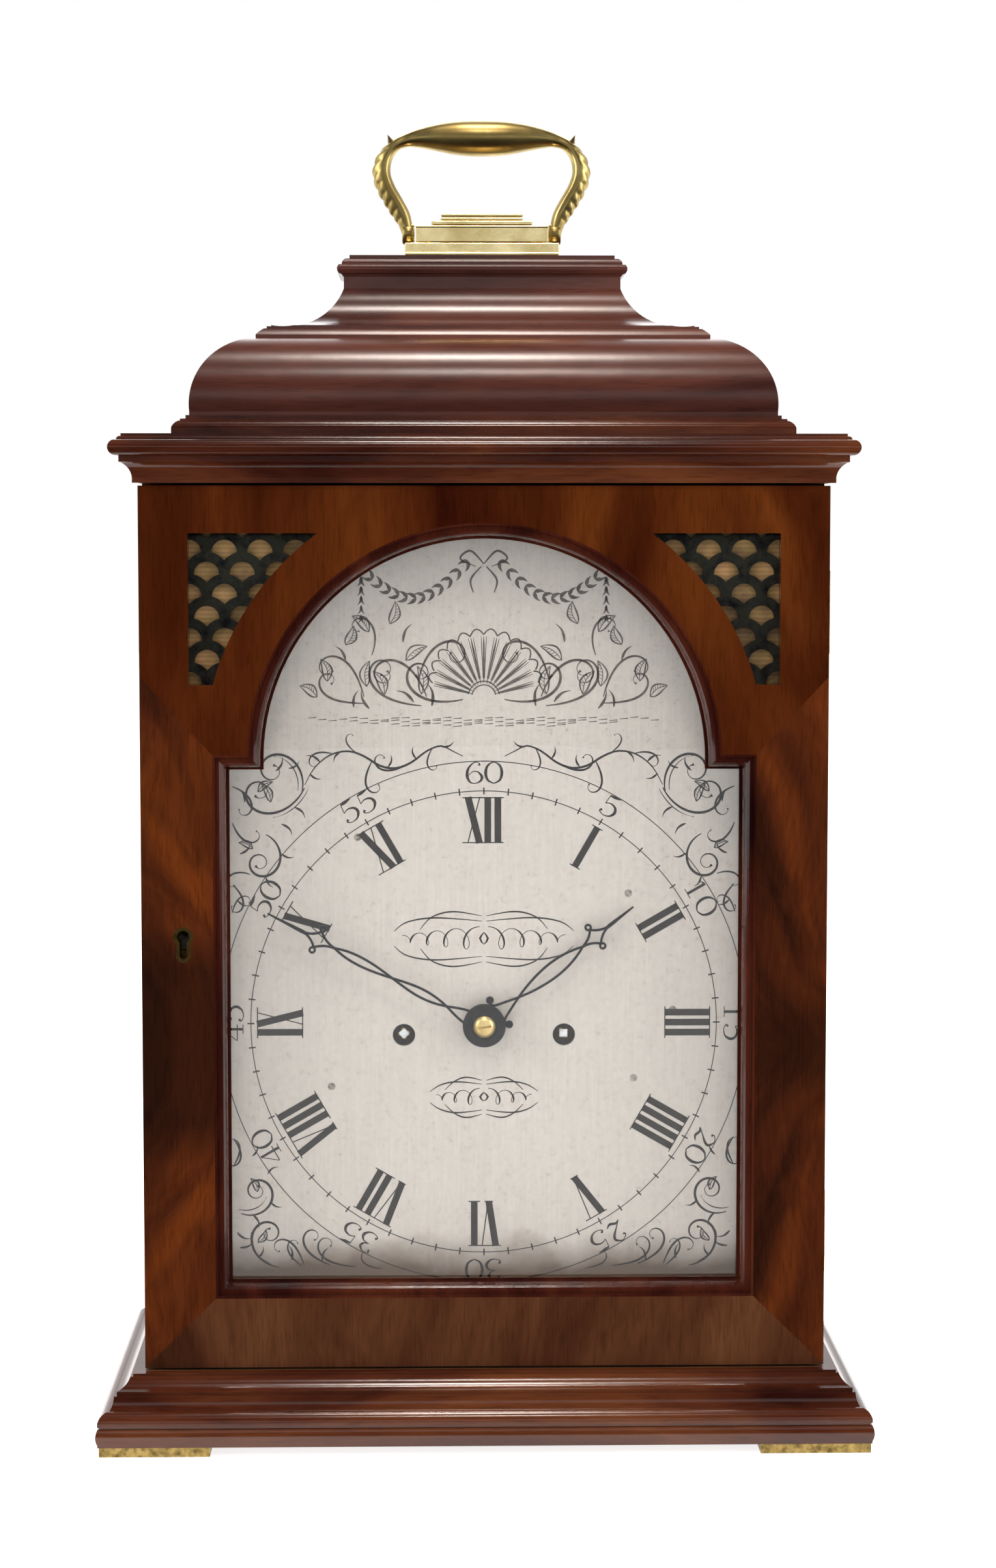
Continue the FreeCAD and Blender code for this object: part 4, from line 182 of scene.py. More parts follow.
def mahogany(name, grain, dark, middle, light, figure=1.0, plume=46.0, polish=0.1, offset=0.0,
             slant=0.0, joint=None):
    """Polished mahogany. grain is the axis that the wood's length follows: 0, 1 or 2.

    joint is the height in mm at which two leaves of veneer meet root to root, if they do.
    """
    material, tree, shader, place = start_material(name)
    if joint is not None:
        xyz = node(tree, "SeparateXYZ", {0: place}).outputs
        from_joint = calc(tree, "ABSOLUTE", calc(tree, "SUBTRACT", xyz["Z"], joint * MM))
        place = node(tree, "CombineXYZ", {"X": xyz["X"], "Y": xyz["Y"], "Z": from_joint}).outputs[0]
    drift = noise(tree, place, 95, 1.0)
    bent = node(tree, "VectorMath", {0: drift["Color"], "Scale": 0.05 * figure}, operation="SCALE")
    warped = node(tree, "VectorMath", {0: place, 1: bent.outputs[0]}, operation="ADD").outputs[0]
    leaning = stretched(tree, warped, along(grain, 1.0), Rotation=(0.0, math.radians(slant), 0.0))
    flow = stretched(tree, leaning, along(grain, 0.24), Location=(offset, offset * 0.7, offset * 1.3))
    plumes = noise(tree, flow, plume, 4.0, 0.52, 0.7)["Fac"]
    tone = ramp(tree, plumes, (0.3, dark), (0.48, middle), (0.7, light))
    stripes = noise(tree, stretched(tree, warped, along(grain, 0.05)), 3.2, 5.0, 0.6)["Fac"]
    stripe_tone = ramp(tree, stripes, (0.32, "7c7c7c"), (0.62, "ffffff"))
    tone = glaze(tree, 0.3 * figure, tone, stripe_tone)
    if joint is not None:
        ragged = calc(tree, "MULTIPLY_ADD", drift["Fac"], 55 * MM, from_joint)
        root = between(tree, ragged, 46 * MM, 66 * MM, 0.72, 0.0)
        tone = blend(tree, root, tone, dark)
    pores = noise(tree, stretched(tree, place, along(grain, 0.07)), 0.8, 2.0)["Fac"]
    pore_tone = ramp(tree, pores, (0.36, "3a2a22"), (0.47, "ffffff"))
    grime = noise(tree, place, 38, 6.0, 0.65)["Fac"]
    ripple = noise(tree, place, 14, 3.0)["Fac"]
    put(tree, shader, {
        "Base Color": glaze(tree, 0.22, tone, pore_tone),
        "Roughness": between(tree, grime, 0.3, 0.7, 0.34, 0.5),
        "Specular IOR Level": 0.0, "Coat Weight": 1.0, "Coat Roughness": polish, "Coat IOR": 1.5,
        "Coat Normal": bump(tree, ripple, 0.06, 1.2)})
    return material


door_veneer = mahogany("flame_mahogany_veneer", 2, "22100a", "451f0f", "683112", figure=1.1,
                       plume=30, polish=0.07, slant=32.0, offset=0.16, joint=154.0)
head_veneer = mahogany("mahogany_head_veneer", 2, "320f05", "4a200a", "673312", figure=0.7,
                       plume=40, polish=0.07, slant=8.0, offset=0.33)
rail_veneer = mahogany("mahogany_rail_veneer", 2, "2a1309", "4d2b1a", "674128", figure=0.9,
                       plume=52, polish=0.08, offset=0.21)
side_veneer = mahogany("case_side_mahogany", 2, "1a0703", "441e0b", "6a3618", figure=1.1,
                       plume=44, polish=0.11, slant=10.0, offset=0.4)
moulding_x = mahogany("polished_mahogany_moulding", 0, "2b0c06", "4b2111", "66361b", figure=0.4,
                      plume=30, polish=0.17, offset=0.11)
bell_wood = mahogany("dark_polished_mahogany", 0, "31140e", "4a241c", "673728", figure=0.35,
                     plume=36, polish=0.25, offset=0.31)
sight_wood = mahogany("sight_ring_mahogany", 2, "1e0806", "39150e", "592a19", figure=0.6,
                      plume=40, polish=0.1, offset=0.52)
print("seven cuts of mahogany")

# %% [markdown]
# ## Plain oak and blackened wood
# The hidden boards are quarter-cut oak, unpolished and browned by age. The mask behind the dial
# is painted dull black, so that no light line shows round the silvered plate.

# %% Oak and black paint
def carcass_oak():
    material, tree, shader, place = start_material("aged_carcass_oak")
    grain = noise(tree, stretched(tree, place, along(0, 0.06)), 2.4, 6.0, 0.62)["Fac"]
    put(tree, shader, {
        "Base Color": ramp(tree, grain, (0.3, "3b2413"), (0.5, "6a4526"), (0.7, "8c6238")),
        "Roughness": 0.72, "Normal": bump(tree, grain, 0.35, 0.3)})
    return material


def plain(name, size, detail, roughness, *stops, specular=0.5):
    """A finish that is one colour, worn in spots about size mm wide."""
    material, tree, shader, place = start_material(name)
    put(tree, shader, {"Base Color": ramp(tree, noise(tree, place, size, detail)["Fac"], *stops),
                       "Roughness": roughness, "Specular IOR Level": specular})
    return material


oak = carcass_oak()
# dull black for the dial mask; the same black is also the painted shade in the winding holes
black = plain("dull_black_paint", 1.5, 4.0, 0.6, (0.3, "0b0908"), (0.7, "1b1613"))
print("hidden woods ready")

# %% [markdown]
# ## Metals
# Cast brass is lacquered pale gold and has gone greenish in the hollows. The sheet brass of the
# frets has dulled to a grey-green skin. The movement is bright brass, grained with a stone, and
# the arbors are polished steel. A metal's colour is in its reflection, so all of them are fully
# metallic, keep the default IOR, and differ in base colour, roughness and the size of the marks.

# %% Metals
def metal(name, bright, dull, mark, roughness, grain=None, relief=0.08, cover=(0.42, 0.66)):
    """A metal with a bright ground and a dull patina in patches about mark mm wide.

    grain is the axis along which it was rubbed, if it was.
    """
    material, tree, shader, place = start_material(name)
    patch = noise(tree, place, mark, 6.0, 0.62)["Fac"]
    scratch = noise(tree, stretched(tree, place, along(grain, 0.1)), 0.5, 3.0)["Fac"]
    put(tree, shader, {
        "Base Color": ramp(tree, patch, (cover[0], bright), (cover[1], dull)),
        "Roughness": between(tree, patch, 0.3, 0.7, roughness * 0.75, min(1.0, roughness * 1.5)),
        "Metallic": 1.0, "Normal": bump(tree, scratch, relief, 0.2)})
    return material


cast_brass = metal("lacquered_cast_brass", "e2c98a", "9c8650", 9.0, 0.27, cover=(0.45, 0.72))
handle_brass = metal("handled_cast_brass", "b8a368", "94804c", 22.0, 0.3, relief=0.02)
plate_brass = metal("pale_plate_brass", "f7e6b2", "e0cb8e", 26.0, 0.16, grain=0, relief=0.05)
foot_brass = metal("worn_foot_brass", "a58d55", "6b5a33", 3.0, 0.4)
old_brass = metal("tarnished_brass", "a98a4c", "5d4a26", 5.0, 0.34)
fret_brass = metal("patinated_fret_brass", "4a4a42", "25262a", 6.0, 0.5, relief=0.14)
movement_brass = metal("stoned_movement_brass", "c9a65c", "b5924e", 30.0, 0.3, grain=0,
                       cover=(0.4, 0.75))
bell_metal = metal("cast_bell_metal", "c9b58a", "93805a", 12.0, 0.3, grain=2)
movement_steel = metal("polished_steel", "b9bcc0", "7f8185", 9.0, 0.2, grain=1)
rivet_metal = metal("tinned_rivet_ends", "9a958d", "55504a", 1.5, 0.4)
lock_steel = metal("filed_lock_steel", "8d8b88", "4d4a47", 4.0, 0.42, grain=0)
blued_steel = metal("dark_blued_steel", "17181d", "0b0b0e", 3.0, 0.3)
print("twelve metals")

# %% [markdown]
# ## Silvered brass
# The dial is brass rubbed with silver chloride, then lacquered. It is a matt, slightly warm
# white, with fine upright brush marks, a faint speckle, and a brown-green bloom where damp came
# in along the bottom edge. It reads more as a pale skin than as a mirror, so it is only in part
# metallic, and its roughness is high.

# %% Silvered dial
BLOOM_FULL = 17.0   # height above the dial's foot, in mm, up to which the bloom is full
BLOOM_END = 31.0    # and at which it ends, both less a ragged edge of up to 16 mm


def silvered(name):
    material, tree, shader, place = start_material(name)
    brush = noise(tree, stretched(tree, place, along(2, 0.04)), 0.9, 3.0)["Fac"]
    speckle = noise(tree, place, 2.2, 7.0, 0.75)["Fac"]
    base = ramp(tree, speckle, (0.28, "9e998f"), (0.42, "bcb6af"), (0.7, "c3bfb7"))
    brushed = glaze(tree, 0.6, base, ramp(tree, brush, (0.3, "efefef"), (0.7, "ffffff")))
    height = node(tree, "SeparateXYZ", {0: place}).outputs["Z"]
    edge = calc(tree, "MULTIPLY_ADD", noise(tree, place, 16, 5.0)["Fac"], 16 * MM, height)
    bloom = between(tree, edge, (dial_low[2] + BLOOM_FULL) * MM, (dial_low[2] + BLOOM_END) * MM,
                    0.95, 0.0)
    put(tree, shader, {"Base Color": blend(tree, bloom, brushed, "5a4634"), "Metallic": 0.15,
                       "Specular IOR Level": 0.3, "Roughness": 0.46,
                       "Normal": bump(tree, brush, 0.05, 0.1)})
    return material


silver = silvered("silvered_brass")
print("dial finish ready")

# %% [markdown]
# ## Wax, glass, silk and gut
# Engraved lines are cut with a graver and filled with black sealing wax, which dries a warm
# brown-black. Fine lines hold less of it, so they look grey beside the numerals. The glass is
# old crown glass, a little uneven. The silk behind the frets was a rose colour and has faded to
# gold-brown. Gut is twisted sheep gut, amber and half clear.

# %% Wax, glass, silk, gut
def crown_glass():
    material, tree, shader, place = start_material("old_crown_glass")
    put(tree, shader, {"Base Color": "ffffff", "Transmission Weight": 1.0, "Roughness": 0.0, "IOR": 1.5,
                       "Normal": bump(tree, noise(tree, place, 60, 1.0)["Fac"], 0.05, 1.0)})
    clear = node(tree, "BsdfTransparent", {"Color": "fcfcfc"}).outputs[0]
    shadow = node(tree, "LightPath").outputs["Is Shadow Ray"]
    lit = node(tree, "MixShader", {0: shadow, 1: shader.outputs[0], 2: clear}).outputs[0]
    put(tree, tree.nodes["Material Output"], {"Surface": lit})
    return material


def faded_silk():
    material, tree, shader, place = start_material("faded_rose_silk")
    fade = noise(tree, place, 11, 4.0)["Fac"]
    tone = ramp(tree, fade, (0.32, "6b4f2a"), (0.5, "94753f"), (0.68, "b08452"))
    weft = bands(tree, place, 0.9, 0.6, "Z")
    thread = ramp(tree, weft, (0.0, "b9b9b9"), (1.0, "ffffff"))
    put(tree, shader, {"Base Color": glaze(tree, 0.5, tone, thread), "Roughness": 0.62,
                       "Sheen Weight": 0.4, "Normal": bump(tree, weft, 0.3, 0.15)})
    return material


def twisted_gut():
    material, tree, shader, place = start_material("twisted_gut")
    twist = bands(tree, place, 1.2, 0.5, "DIAGONAL")
    put(tree, shader, {"Base Color": ramp(tree, twist, (0.1, "6b4a1f"), (0.9, "b98a48")),
                       "Roughness": 0.4})
    return material


wax = plain("black_sealing_wax", 1.4, 5.0, 0.45, (0.35, "0d0a08"), (0.62, "15100e"), (0.8, "2c2420"),
            specular=0.2)
fine_wax = plain("thin_wax_line", 2.0, 4.0, 0.5, (0.35, "2c2521"), (0.7, "584e46"))
glass = crown_glass()
silk = faded_silk()
gut = twisted_gut()
print("soft and clear finishes ready")

# %% [markdown]
# ## Giving every part its finish
# A part in the frame keeps its shape, and only its material slot is filled. A small bevel
# modifier rounds the sharp edges of wood and metal, because a real edge always catches a thin
# line of light, and without it a model looks like paper.

# %% Finishes on the parts
finishes = (
    (door_veneer, "door_stile_left door_stile_right"), (rail_veneer, "door_bottom_rail"),
    (head_veneer, "door_head"), (side_veneer, "side_left side_right back_door_frame"),
    (moulding_x, "base_moulding cornice"), (sight_wood, "sight_moulding"),
    (bell_wood, "bell_lower bell_mid_step bell_upper bell_cap"),
    (oak, "base_board case_rails top_board seat_board"), (black, "dial_mask"),
    (silver, "dial_plate"), (rivet_metal, "dial_feet"), (foot_brass, "brass_feet"),
    (plate_brass, "handle_plate"), (handle_brass, "handle_bail"),
    (fret_brass, "side_frets spandrel_frets"),
    (old_brass, "keyhole_escutcheon front_lock front_hinge_case_leaves front_hinge_door_leaves "
                "back_hinge_case_leaves back_hinge_door_leaves back_door_catch"),
    (lock_steel, "front_lock_bolt front_lock_staple"), (glass, "door_glass back_door_glass"),
    (movement_brass, "front_plate back_plate pillars_and_bolts back_cock going_fusee strike_fusee "
                     "going_barrel strike_barrel centre_wheel third_wheel escape_wheel "
                     "minute_wheel hour_wheel pendulum"),
    (bell_metal, "strike_bell"), (movement_steel, "cannon_pinion pallets strike_hammer"),
    (blued_steel, "hour_hand minute_hand"),
)
edges = {  # width of the rounded edge in mm
    0.2: "dial_plate", 0.35: "handle_plate", 0.6: "back_door_frame",
    0.3: "cornice bell_mid_step bell_upper front_plate back_plate front_lock",
    0.4: "base_moulding bell_lower brass_feet back_cock",
    0.5: "door_stile_left door_stile_right bell_cap side_left side_right seat_board case_rails",
}


def soften(part, width):
    """Rounds the edges where two faces meet at more than 40 degrees."""
    edge = part.modifiers.new("soft_edge", "BEVEL")
    edge.width = width * MM
    edge.segments = 2
    edge.limit_method = "ANGLE"
    edge.angle_limit = math.radians(40)


plain_parts = set(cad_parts)
for material, names in finishes:
    for name in names.split():
        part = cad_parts[name]
        if not part.material_slots:
            part.data.materials.append(material)
        for place in part.material_slots:
            place.material = material
        plain_parts.remove(name)
for width, names in edges.items():
    for name in names.split():
        soften(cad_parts[name], width)
print("parts left for their own pieces:", sorted(plain_parts))

# %% [markdown]
# ## Adding a piece
# Whatever this lesson adds is a mesh of its own. It rides on a body of the frame, so that it
# moves with a door or a hand, and it is given the material of its finish.

# %% Pieces
def link(name, data):
    """Puts a mesh, a curve, a lamp or a camera into the scene."""
    thing = bpy.data.objects.new(name, data)
    bpy.context.scene.collection.objects.link(thing)
    return thing


def add_piece(name, verts, faces, material, body, edge=0.0, smooth=False, unit=MM):
    """Makes a piece that rides on a body. Its points are in mm, or in another unit."""
    mesh = bpy.data.meshes.new(name)
    mesh.from_pydata([[v * unit for v in point] for point in verts], [], faces)
    mesh.materials.append(material)
    for poly in mesh.polygons:
        poly.use_smooth = smooth and len(poly.vertices) <= 4
    piece = link(name, mesh)
    if edge:
        soften(piece, edge)
    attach(piece, body)
    return piece


# A block of eight corners, the front four first, without the face that lies on its seat.
OPEN_BLOCK = [(0, 1, 2, 3), (0, 4, 5, 1), (1, 5, 6, 2), (2, 6, 7, 3), (3, 7, 4, 0)]

# %% [markdown]
# ## Drawing with a graver
# Everything on the dial is cut by hand with a graver, whose line swells and thins as it is
# pressed and lifted. A font would give lines of even width, so each line here is a ribbon: a
# smooth curve through a few points, each with its own width. Numerals, scrolls and leaves all
# come from this one function, which lays them a hair above the silvered face.

# %% The ribbon
LINE_LIFT = 0.05     # mm above the face
FINEST_LINE = 0.02   # mm


def spline(rows, steps):
    """A Catmull-Rom curve through rows of numbers, each row one point."""
    rows = [rows[0], *rows, rows[-1]]
    out = []
    for four in zip(rows, rows[1:], rows[2:], rows[3:]):
        for k in range(steps):
            t = k / steps
            out.append([0.5 * (2 * q + (r - p) * t + (2 * p - 5 * q + 4 * r - s) * t * t
                               + (3 * q - p - 3 * r + s) * t ** 3) for p, q, r, s in zip(*four)])
    return out + [list(rows[-1])]


class Engraving:
    """Collects ribbons in the plane of the dial, and makes one mesh of them."""

    def __init__(self):
        self.verts = []
        self.faces = []

    def point(self, x, z, place):
        """One point, after place has turned (x, z) into the place on the dial."""
        x, z = place(x, z) if place else (x, z)
        self.verts.append((x, DIAL_FACE - LINE_LIFT, z))

    def line(self, points, place=None, steps=6):
        """One stroke of the graver through points of (x, z, width)."""
        path = spline(points, steps) if len(points) > 2 else points
        start, last = len(self.verts), len(path) - 1
        for i, (x, z, width) in enumerate(path):
            before, after = path[max(i - 1, 0)], path[min(i + 1, last)]
            way = Vector((after[0] - before[0], after[1] - before[1]))
            if way.length < 1e-6:
                way = Vector((1.0, 0.0))
            way.normalize()
            half = max(width, FINEST_LINE) / 2
            for side in (half, -half):
                self.point(x - side * way.y, z + side * way.x, place)
        for a in range(start, start + 2 * last, 2):
            self.faces.append((a, a + 1, a + 3, a + 2))

    def ring(self, radius, width, place=None, count=180):
        start = len(self.verts)
        for i in range(count):
            angle = 2 * math.pi * i / count
            for r in (radius - width / 2, radius + width / 2):
                self.point(r * math.sin(angle), r * math.cos(angle), place)
            a, b = start + 2 * i, start + 2 * ((i + 1) % count)
            self.faces.append((a, a + 1, b + 1, b))

    def make(self, name, material):
        add_piece(name, self.verts, self.faces, material, "case")
        print(name, len(self.faces), "faces")


def on_circle(degrees, radius):
    """Puts a drawing whose base is at this radius, with its head outwards, at this angle."""
    turn = math.radians(degrees)

    def place(x, z):
        out = radius + z
        return (CENTRE_X + x * math.cos(turn) + out * math.sin(turn),
                CENTRE_Z - x * math.sin(turn) + out * math.cos(turn))
    return place


def from_centre(points, rise=0.0, thinner=1.0):
    """Moves points that are drawn about the hands' centre, or rise mm above it, onto the dial."""
    return [(CENTRE_X + x, CENTRE_Z + rise + z, w * thinner) for x, z, w in points]


# %% [markdown]
# ## The hour numerals
# Roman numerals on an English dial stand on a ring with their feet to the centre. The thick
# strokes are 2.6 mm wide, the thin ones 0.42 mm, and every stroke ends in a hairline serif.

# %% Roman numerals
HOUR_FOOT = 70.0
TALL = 17.8
THICK = 2.6
HAIR = 0.42
LOW, HIGH = 0.2, TALL - 0.2   # the two serif lines
letter_width = {"I": 3.9, "V": 7.6, "X": 6.9}
letters = {  # x and z of both ends of each stroke, and its width
    "I": [(0, 0, 0, TALL, THICK), (-2.3, LOW, 2.3, LOW, HAIR), (-2.3, HIGH, 2.3, HIGH, HAIR)],
    "X": [(-2.2, TALL, 2.2, 0, THICK * 1.02), (2.3, TALL, -2.3, 0, HAIR),
          (-4.4, LOW, 4.4, LOW, HAIR), (-4.4, HIGH, 4.4, HIGH, HAIR)],
    "V": [(-2.6, TALL, 0.1, LOW, THICK), (2.7, TALL, 0.4, LOW, HAIR),
          (-4.7, HIGH, 4.7, HIGH, HAIR), (-1.6, LOW, 1.8, LOW, HAIR)],
}
hours = Engraving()
for hour, text in enumerate("XII I II III IIII V VI VII VIII IX X XI".split()):
    middle = -sum(letter_width[c] for c in text) / 2
    for c in text:
        middle += letter_width[c] / 2
        for x0, z0, x1, z1, width in letters[c]:
            hours.line([(middle + x0, z0, width), (middle + x1, z1, width)],
                       on_circle(hour * 30, HOUR_FOOT))
        middle += letter_width[c] / 2
hours.make("hour_numerals", wax)

# %% [markdown]
# ## The minute ring
# Sixty short ticks cross a thin circle, and outside it stand the five-minute numbers. These old
# figures swell in the bowl and end in a ball, so each is two or three strokes of the graver.

# %% Minute ring
MINUTE_CIRCLE = 90.2
OUTER_CIRCLE = 101.7
RING_LINE = 0.34
ring = Engraving()
for radius in (MINUTE_CIRCLE, OUTER_CIRCLE):
    ring.ring(radius, RING_LINE, on_circle(0, 0))
for minute in range(60):
    ring.line([(0, -1.35, 0.55), (0, 1.35, 0.55)], on_circle(minute * 6, MINUTE_CIRCLE))
ring.make("minute_ring", wax)

# %% Minute numbers
FIGURE_FOOT = 93.1
FIGURE_TALL = 8.2
FIGURE_WIDE = 6.7
FIGURE_GAP = 0.7
BOX_WIDE = 0.58   # width of a figure in the table, where its height is 1
figures = {
    "0": [[(0.3, 0.0, 0.05), (0.1, 0.16, 0.1), (0.03, 0.5, 0.14), (0.1, 0.84, 0.1),
          (0.3, 1.0, 0.05), (0.5, 0.84, 0.1), (0.57, 0.5, 0.14), (0.5, 0.16, 0.1),
          (0.3, 0.0, 0.05)]],
    "1": [[(0.26, 0.0, 0.13), (0.26, 0.98, 0.13)], [(0.1, 0.8, 0.03), (0.22, 0.95, 0.08)],
          [(0.08, 0.02, 0.04), (0.44, 0.02, 0.04)]],
    "2": [[(0.13, 0.72, 0.13), (0.08, 0.84, 0.05), (0.26, 1.0, 0.05), (0.46, 0.84, 0.12),
          (0.43, 0.62, 0.12), (0.25, 0.34, 0.06), (0.06, 0.05, 0.05)], [(0.06, 0.05, 0.05),
          (0.2, 0.13, 0.11), (0.38, 0.04, 0.12), (0.54, 0.17, 0.03)]],
    "3": [[(0.12, 0.8, 0.13), (0.12, 0.93, 0.05), (0.28, 1.0, 0.05), (0.44, 0.82, 0.12),
          (0.38, 0.62, 0.08), (0.22, 0.54, 0.03)], [(0.22, 0.54, 0.03), (0.44, 0.5, 0.07),
          (0.53, 0.27, 0.14), (0.4, 0.04, 0.08), (0.2, 0.0, 0.04), (0.06, 0.1, 0.06),
          (0.12, 0.2, 0.13)]],
    "4": [[(0.42, 0.0, 0.13), (0.42, 1.0, 0.11)], [(0.42, 0.98, 0.04), (0.03, 0.3, 0.04)],
          [(0.03, 0.29, 0.05), (0.58, 0.29, 0.05)], [(0.26, 0.02, 0.04), (0.58, 0.02, 0.04)]],
    "5": [[(0.13, 0.95, 0.07), (0.32, 0.97, 0.13), (0.53, 1.02, 0.04)], [(0.14, 0.95, 0.04),
          (0.11, 0.54, 0.04)], [(0.11, 0.54, 0.04), (0.28, 0.63, 0.06), (0.48, 0.54, 0.11),
          (0.54, 0.3, 0.14), (0.42, 0.06, 0.08), (0.21, 0.0, 0.04), (0.06, 0.1, 0.06),
          (0.12, 0.2, 0.13)]],
    "6": [[(0.46, 0.84, 0.12), (0.44, 0.97, 0.04), (0.28, 0.98, 0.05), (0.1, 0.72, 0.1),
          (0.05, 0.38, 0.14), (0.14, 0.08, 0.09), (0.31, 0.0, 0.04), (0.5, 0.12, 0.1),
          (0.54, 0.33, 0.13), (0.4, 0.55, 0.06), (0.24, 0.55, 0.04), (0.1, 0.38, 0.04)]],
}
numbers = Engraving()
for step in range(1, 13):
    text = str(step * 5)
    for i, c in enumerate(text):
        x0 = (i - len(text) / 2) * (FIGURE_WIDE + FIGURE_GAP) + FIGURE_GAP / 2
        for stroke in figures[c]:
            numbers.line([(x0 + x / BOX_WIDE * FIGURE_WIDE, z * FIGURE_TALL, w * FIGURE_TALL)
                          for x, z, w in stroke], on_circle(step * 30, FIGURE_FOOT))
numbers.make("minute_numbers", wax)

# %% [markdown]
# ## Scrolls in the corners
# The corners and the band over the ring carry rococo scrollwork: C-shaped scrolls that end in
# volutes, with small leaves springing from their backs. A pattern book gives one side, and the
# engraver turns it over for the other, which is what the loop does here. The hand draws such a
# scroll by turning the graver more and more tightly, so each one is laid out by its curvature:
# it starts almost straight, and closes into a spiral without a corner anywhere.

# %% Scrollwork
def curl(x, z, heading, length, start_turn, end_turn, width):
    """A stroke whose curvature, in 1/mm, grows from start_turn to end_turn along its length."""
    points = []
    way = math.radians(heading)
    steps = 30
    for i in range(steps + 1):
        t = i / steps
        swell = 0.75 * math.sin(math.pi * min(1.0, t * 1.15 + 0.02)) ** 0.7 if t < 0.85 else 0.05
        points.append((x, z, width * (0.25 + swell)))
        x += math.cos(way) * length / steps
        z += math.sin(way) * length / steps
        way += (start_turn + (end_turn - start_turn) * ((i + 0.5) / steps) ** 2.2) * length / steps
    points[-1] = (points[-1][0], points[-1][1], width * 1.15)
    return points


def stem(points, width):
    """A wandering stem through points, thickest in its middle."""
    last = len(points) - 1
    return [(x, z, width * (0.3 + 0.7 * math.sin(math.pi * i / last)))
            for i, (x, z) in enumerate(points)]


def comma(x, z, length, degrees, bend, width):
    """A small filled leaf: fat at its root, curved and drawn out to a hair."""
    way = math.radians(degrees)
    points = []
    for t, swell in ((0.0, 0.35), (0.25, 1.0), (0.55, 0.75), (0.8, 0.4), (1.0, 0.08)):
        off = bend * math.sin(math.pi * t * 0.9)
        points.append((x + length * t * math.cos(way) - off * math.sin(way),
                       z + length * t * math.sin(way) + off * math.cos(way), width * swell))
    return points


def leaf(x, z, length, degrees, bend, swell):
    """An open leaf: two edges, a midrib and a few hatch lines, as separate strokes."""
    way = math.radians(degrees)

    def at(t, off, width):
        lift = bend * math.sin(math.pi * t * 0.9) + off
        return (x + length * t * math.cos(way) - lift * math.sin(way),
                z + length * t * math.sin(way) + lift * math.cos(way), width)
    strokes = [[at(t, 0.0, 0.3) for t in (0.0, 0.3, 0.6, 0.95)]]
    for side in (swell, -swell):
        strokes.append([at(t, side * math.sin(math.pi * t ** 0.8), w) for t, w in (
            (0.0, 0.3), (0.2, 0.55), (0.45, 0.7), (0.75, 0.45), (1.0, 0.2))])
    for k in range(1, 6):
        t = 0.12 + 0.13 * k
        strokes.append([at(t, 0.0, 0.24), at(t + 0.1, swell * 0.8 * math.sin(math.pi * t ** 0.8), 0.2)])
    return strokes


def pattern(curls, commas, leaves=()):
    """The strokes of a pattern, from the rows of its curls, its filled leaves and open leaves."""
    strokes = [curl(*row) for row in curls] + [comma(*row) for row in commas]
    return strokes + [stroke for row in leaves for stroke in leaf(*row)]


def both_sides(strokes):
    """Each stroke, and the same stroke turned over."""
    for stroke in strokes:
        yield stroke
        yield [(-x, z, w) for x, z, w in stroke]


# %% Corner pattern
lower_corner = pattern((
    (94.5, -74.5, 198, 44, -0.105, -0.5, 1.1), (95.5, -72.8, 196, 13, -0.1, -0.16, 0.5),
    (97.3, -45, 232, 17, 0.06, 0.75, 0.9), (97.3, -56, 120, 14, -0.03, -0.6, 0.8),
    (80, -95.8, 12, 46, 0.075, 0.52, 1.1), (83, -94.3, 20, 16, 0.08, 0.14, 0.45),
    (50, -95.8, 6, 28, 0.015, 0.62, 0.9), (60, -95, 22, 27, 0.03, 0.66, 1.0),
    (70, -95, 70, 22, -0.02, -0.66, 0.9), (71, -95.5, 40, 16, 0.02, 0.8, 0.8),
    (40, -96.6, 8, 14, 0.03, 0.9, 0.7),
), (
    (63, -93.5, 6, 120, -1.2, 1.0), (75, -93, 6, 75, 1.2, 1.0), (96, -82, 6, 200, 1.2, 1.0),
    (90, -75, 6, 250, -1.2, 1.0), (83, -70, 5, 200, 1.0, 0.9), (84, -59, 5, 150, -1.0, 0.9),
    (90, -52, 5, 110, 1.0, 0.9), (95, -88, 6, 150, 1.2, 1.0), (88, -92, 5, 110, 1.0, 0.9),
))
band_stem = stem((
    (8, 103.6), (12, 105.6), (16.5, 107.6), (22, 105.6), (28, 101.2), (34, 99.0), (40, 100.0),
    (46, 103.6), (52, 105.6), (59, 104.2), (65, 99.4), (69, 92.5),
), 1.0)
band = pattern((
    (30, 100.2, -28, 20, 0.05, 0.75, 0.9), (43, 101.8, -62, 19, -0.03, -0.75, 0.9),
    (20, 106.4, -60, 12, -0.05, -1.0, 0.7), (58, 104.6, 15, 15, -0.06, -0.8, 0.8),
    (49, 105, 35, 11, 0.05, 1.0, 0.6),
), (
    (16, 107.2, 5, 150, 1.0, 0.9), (26, 102.6, 5, 80, -1.0, 0.9), (37, 99.4, 5, 100, 1.0, 0.9),
    (63, 101.4, 6, 20, 1.2, 1.0), (55, 105.4, 5, -60, 1.0, 0.9), (67, 97, 5, 200, 1.0, 0.9),
))
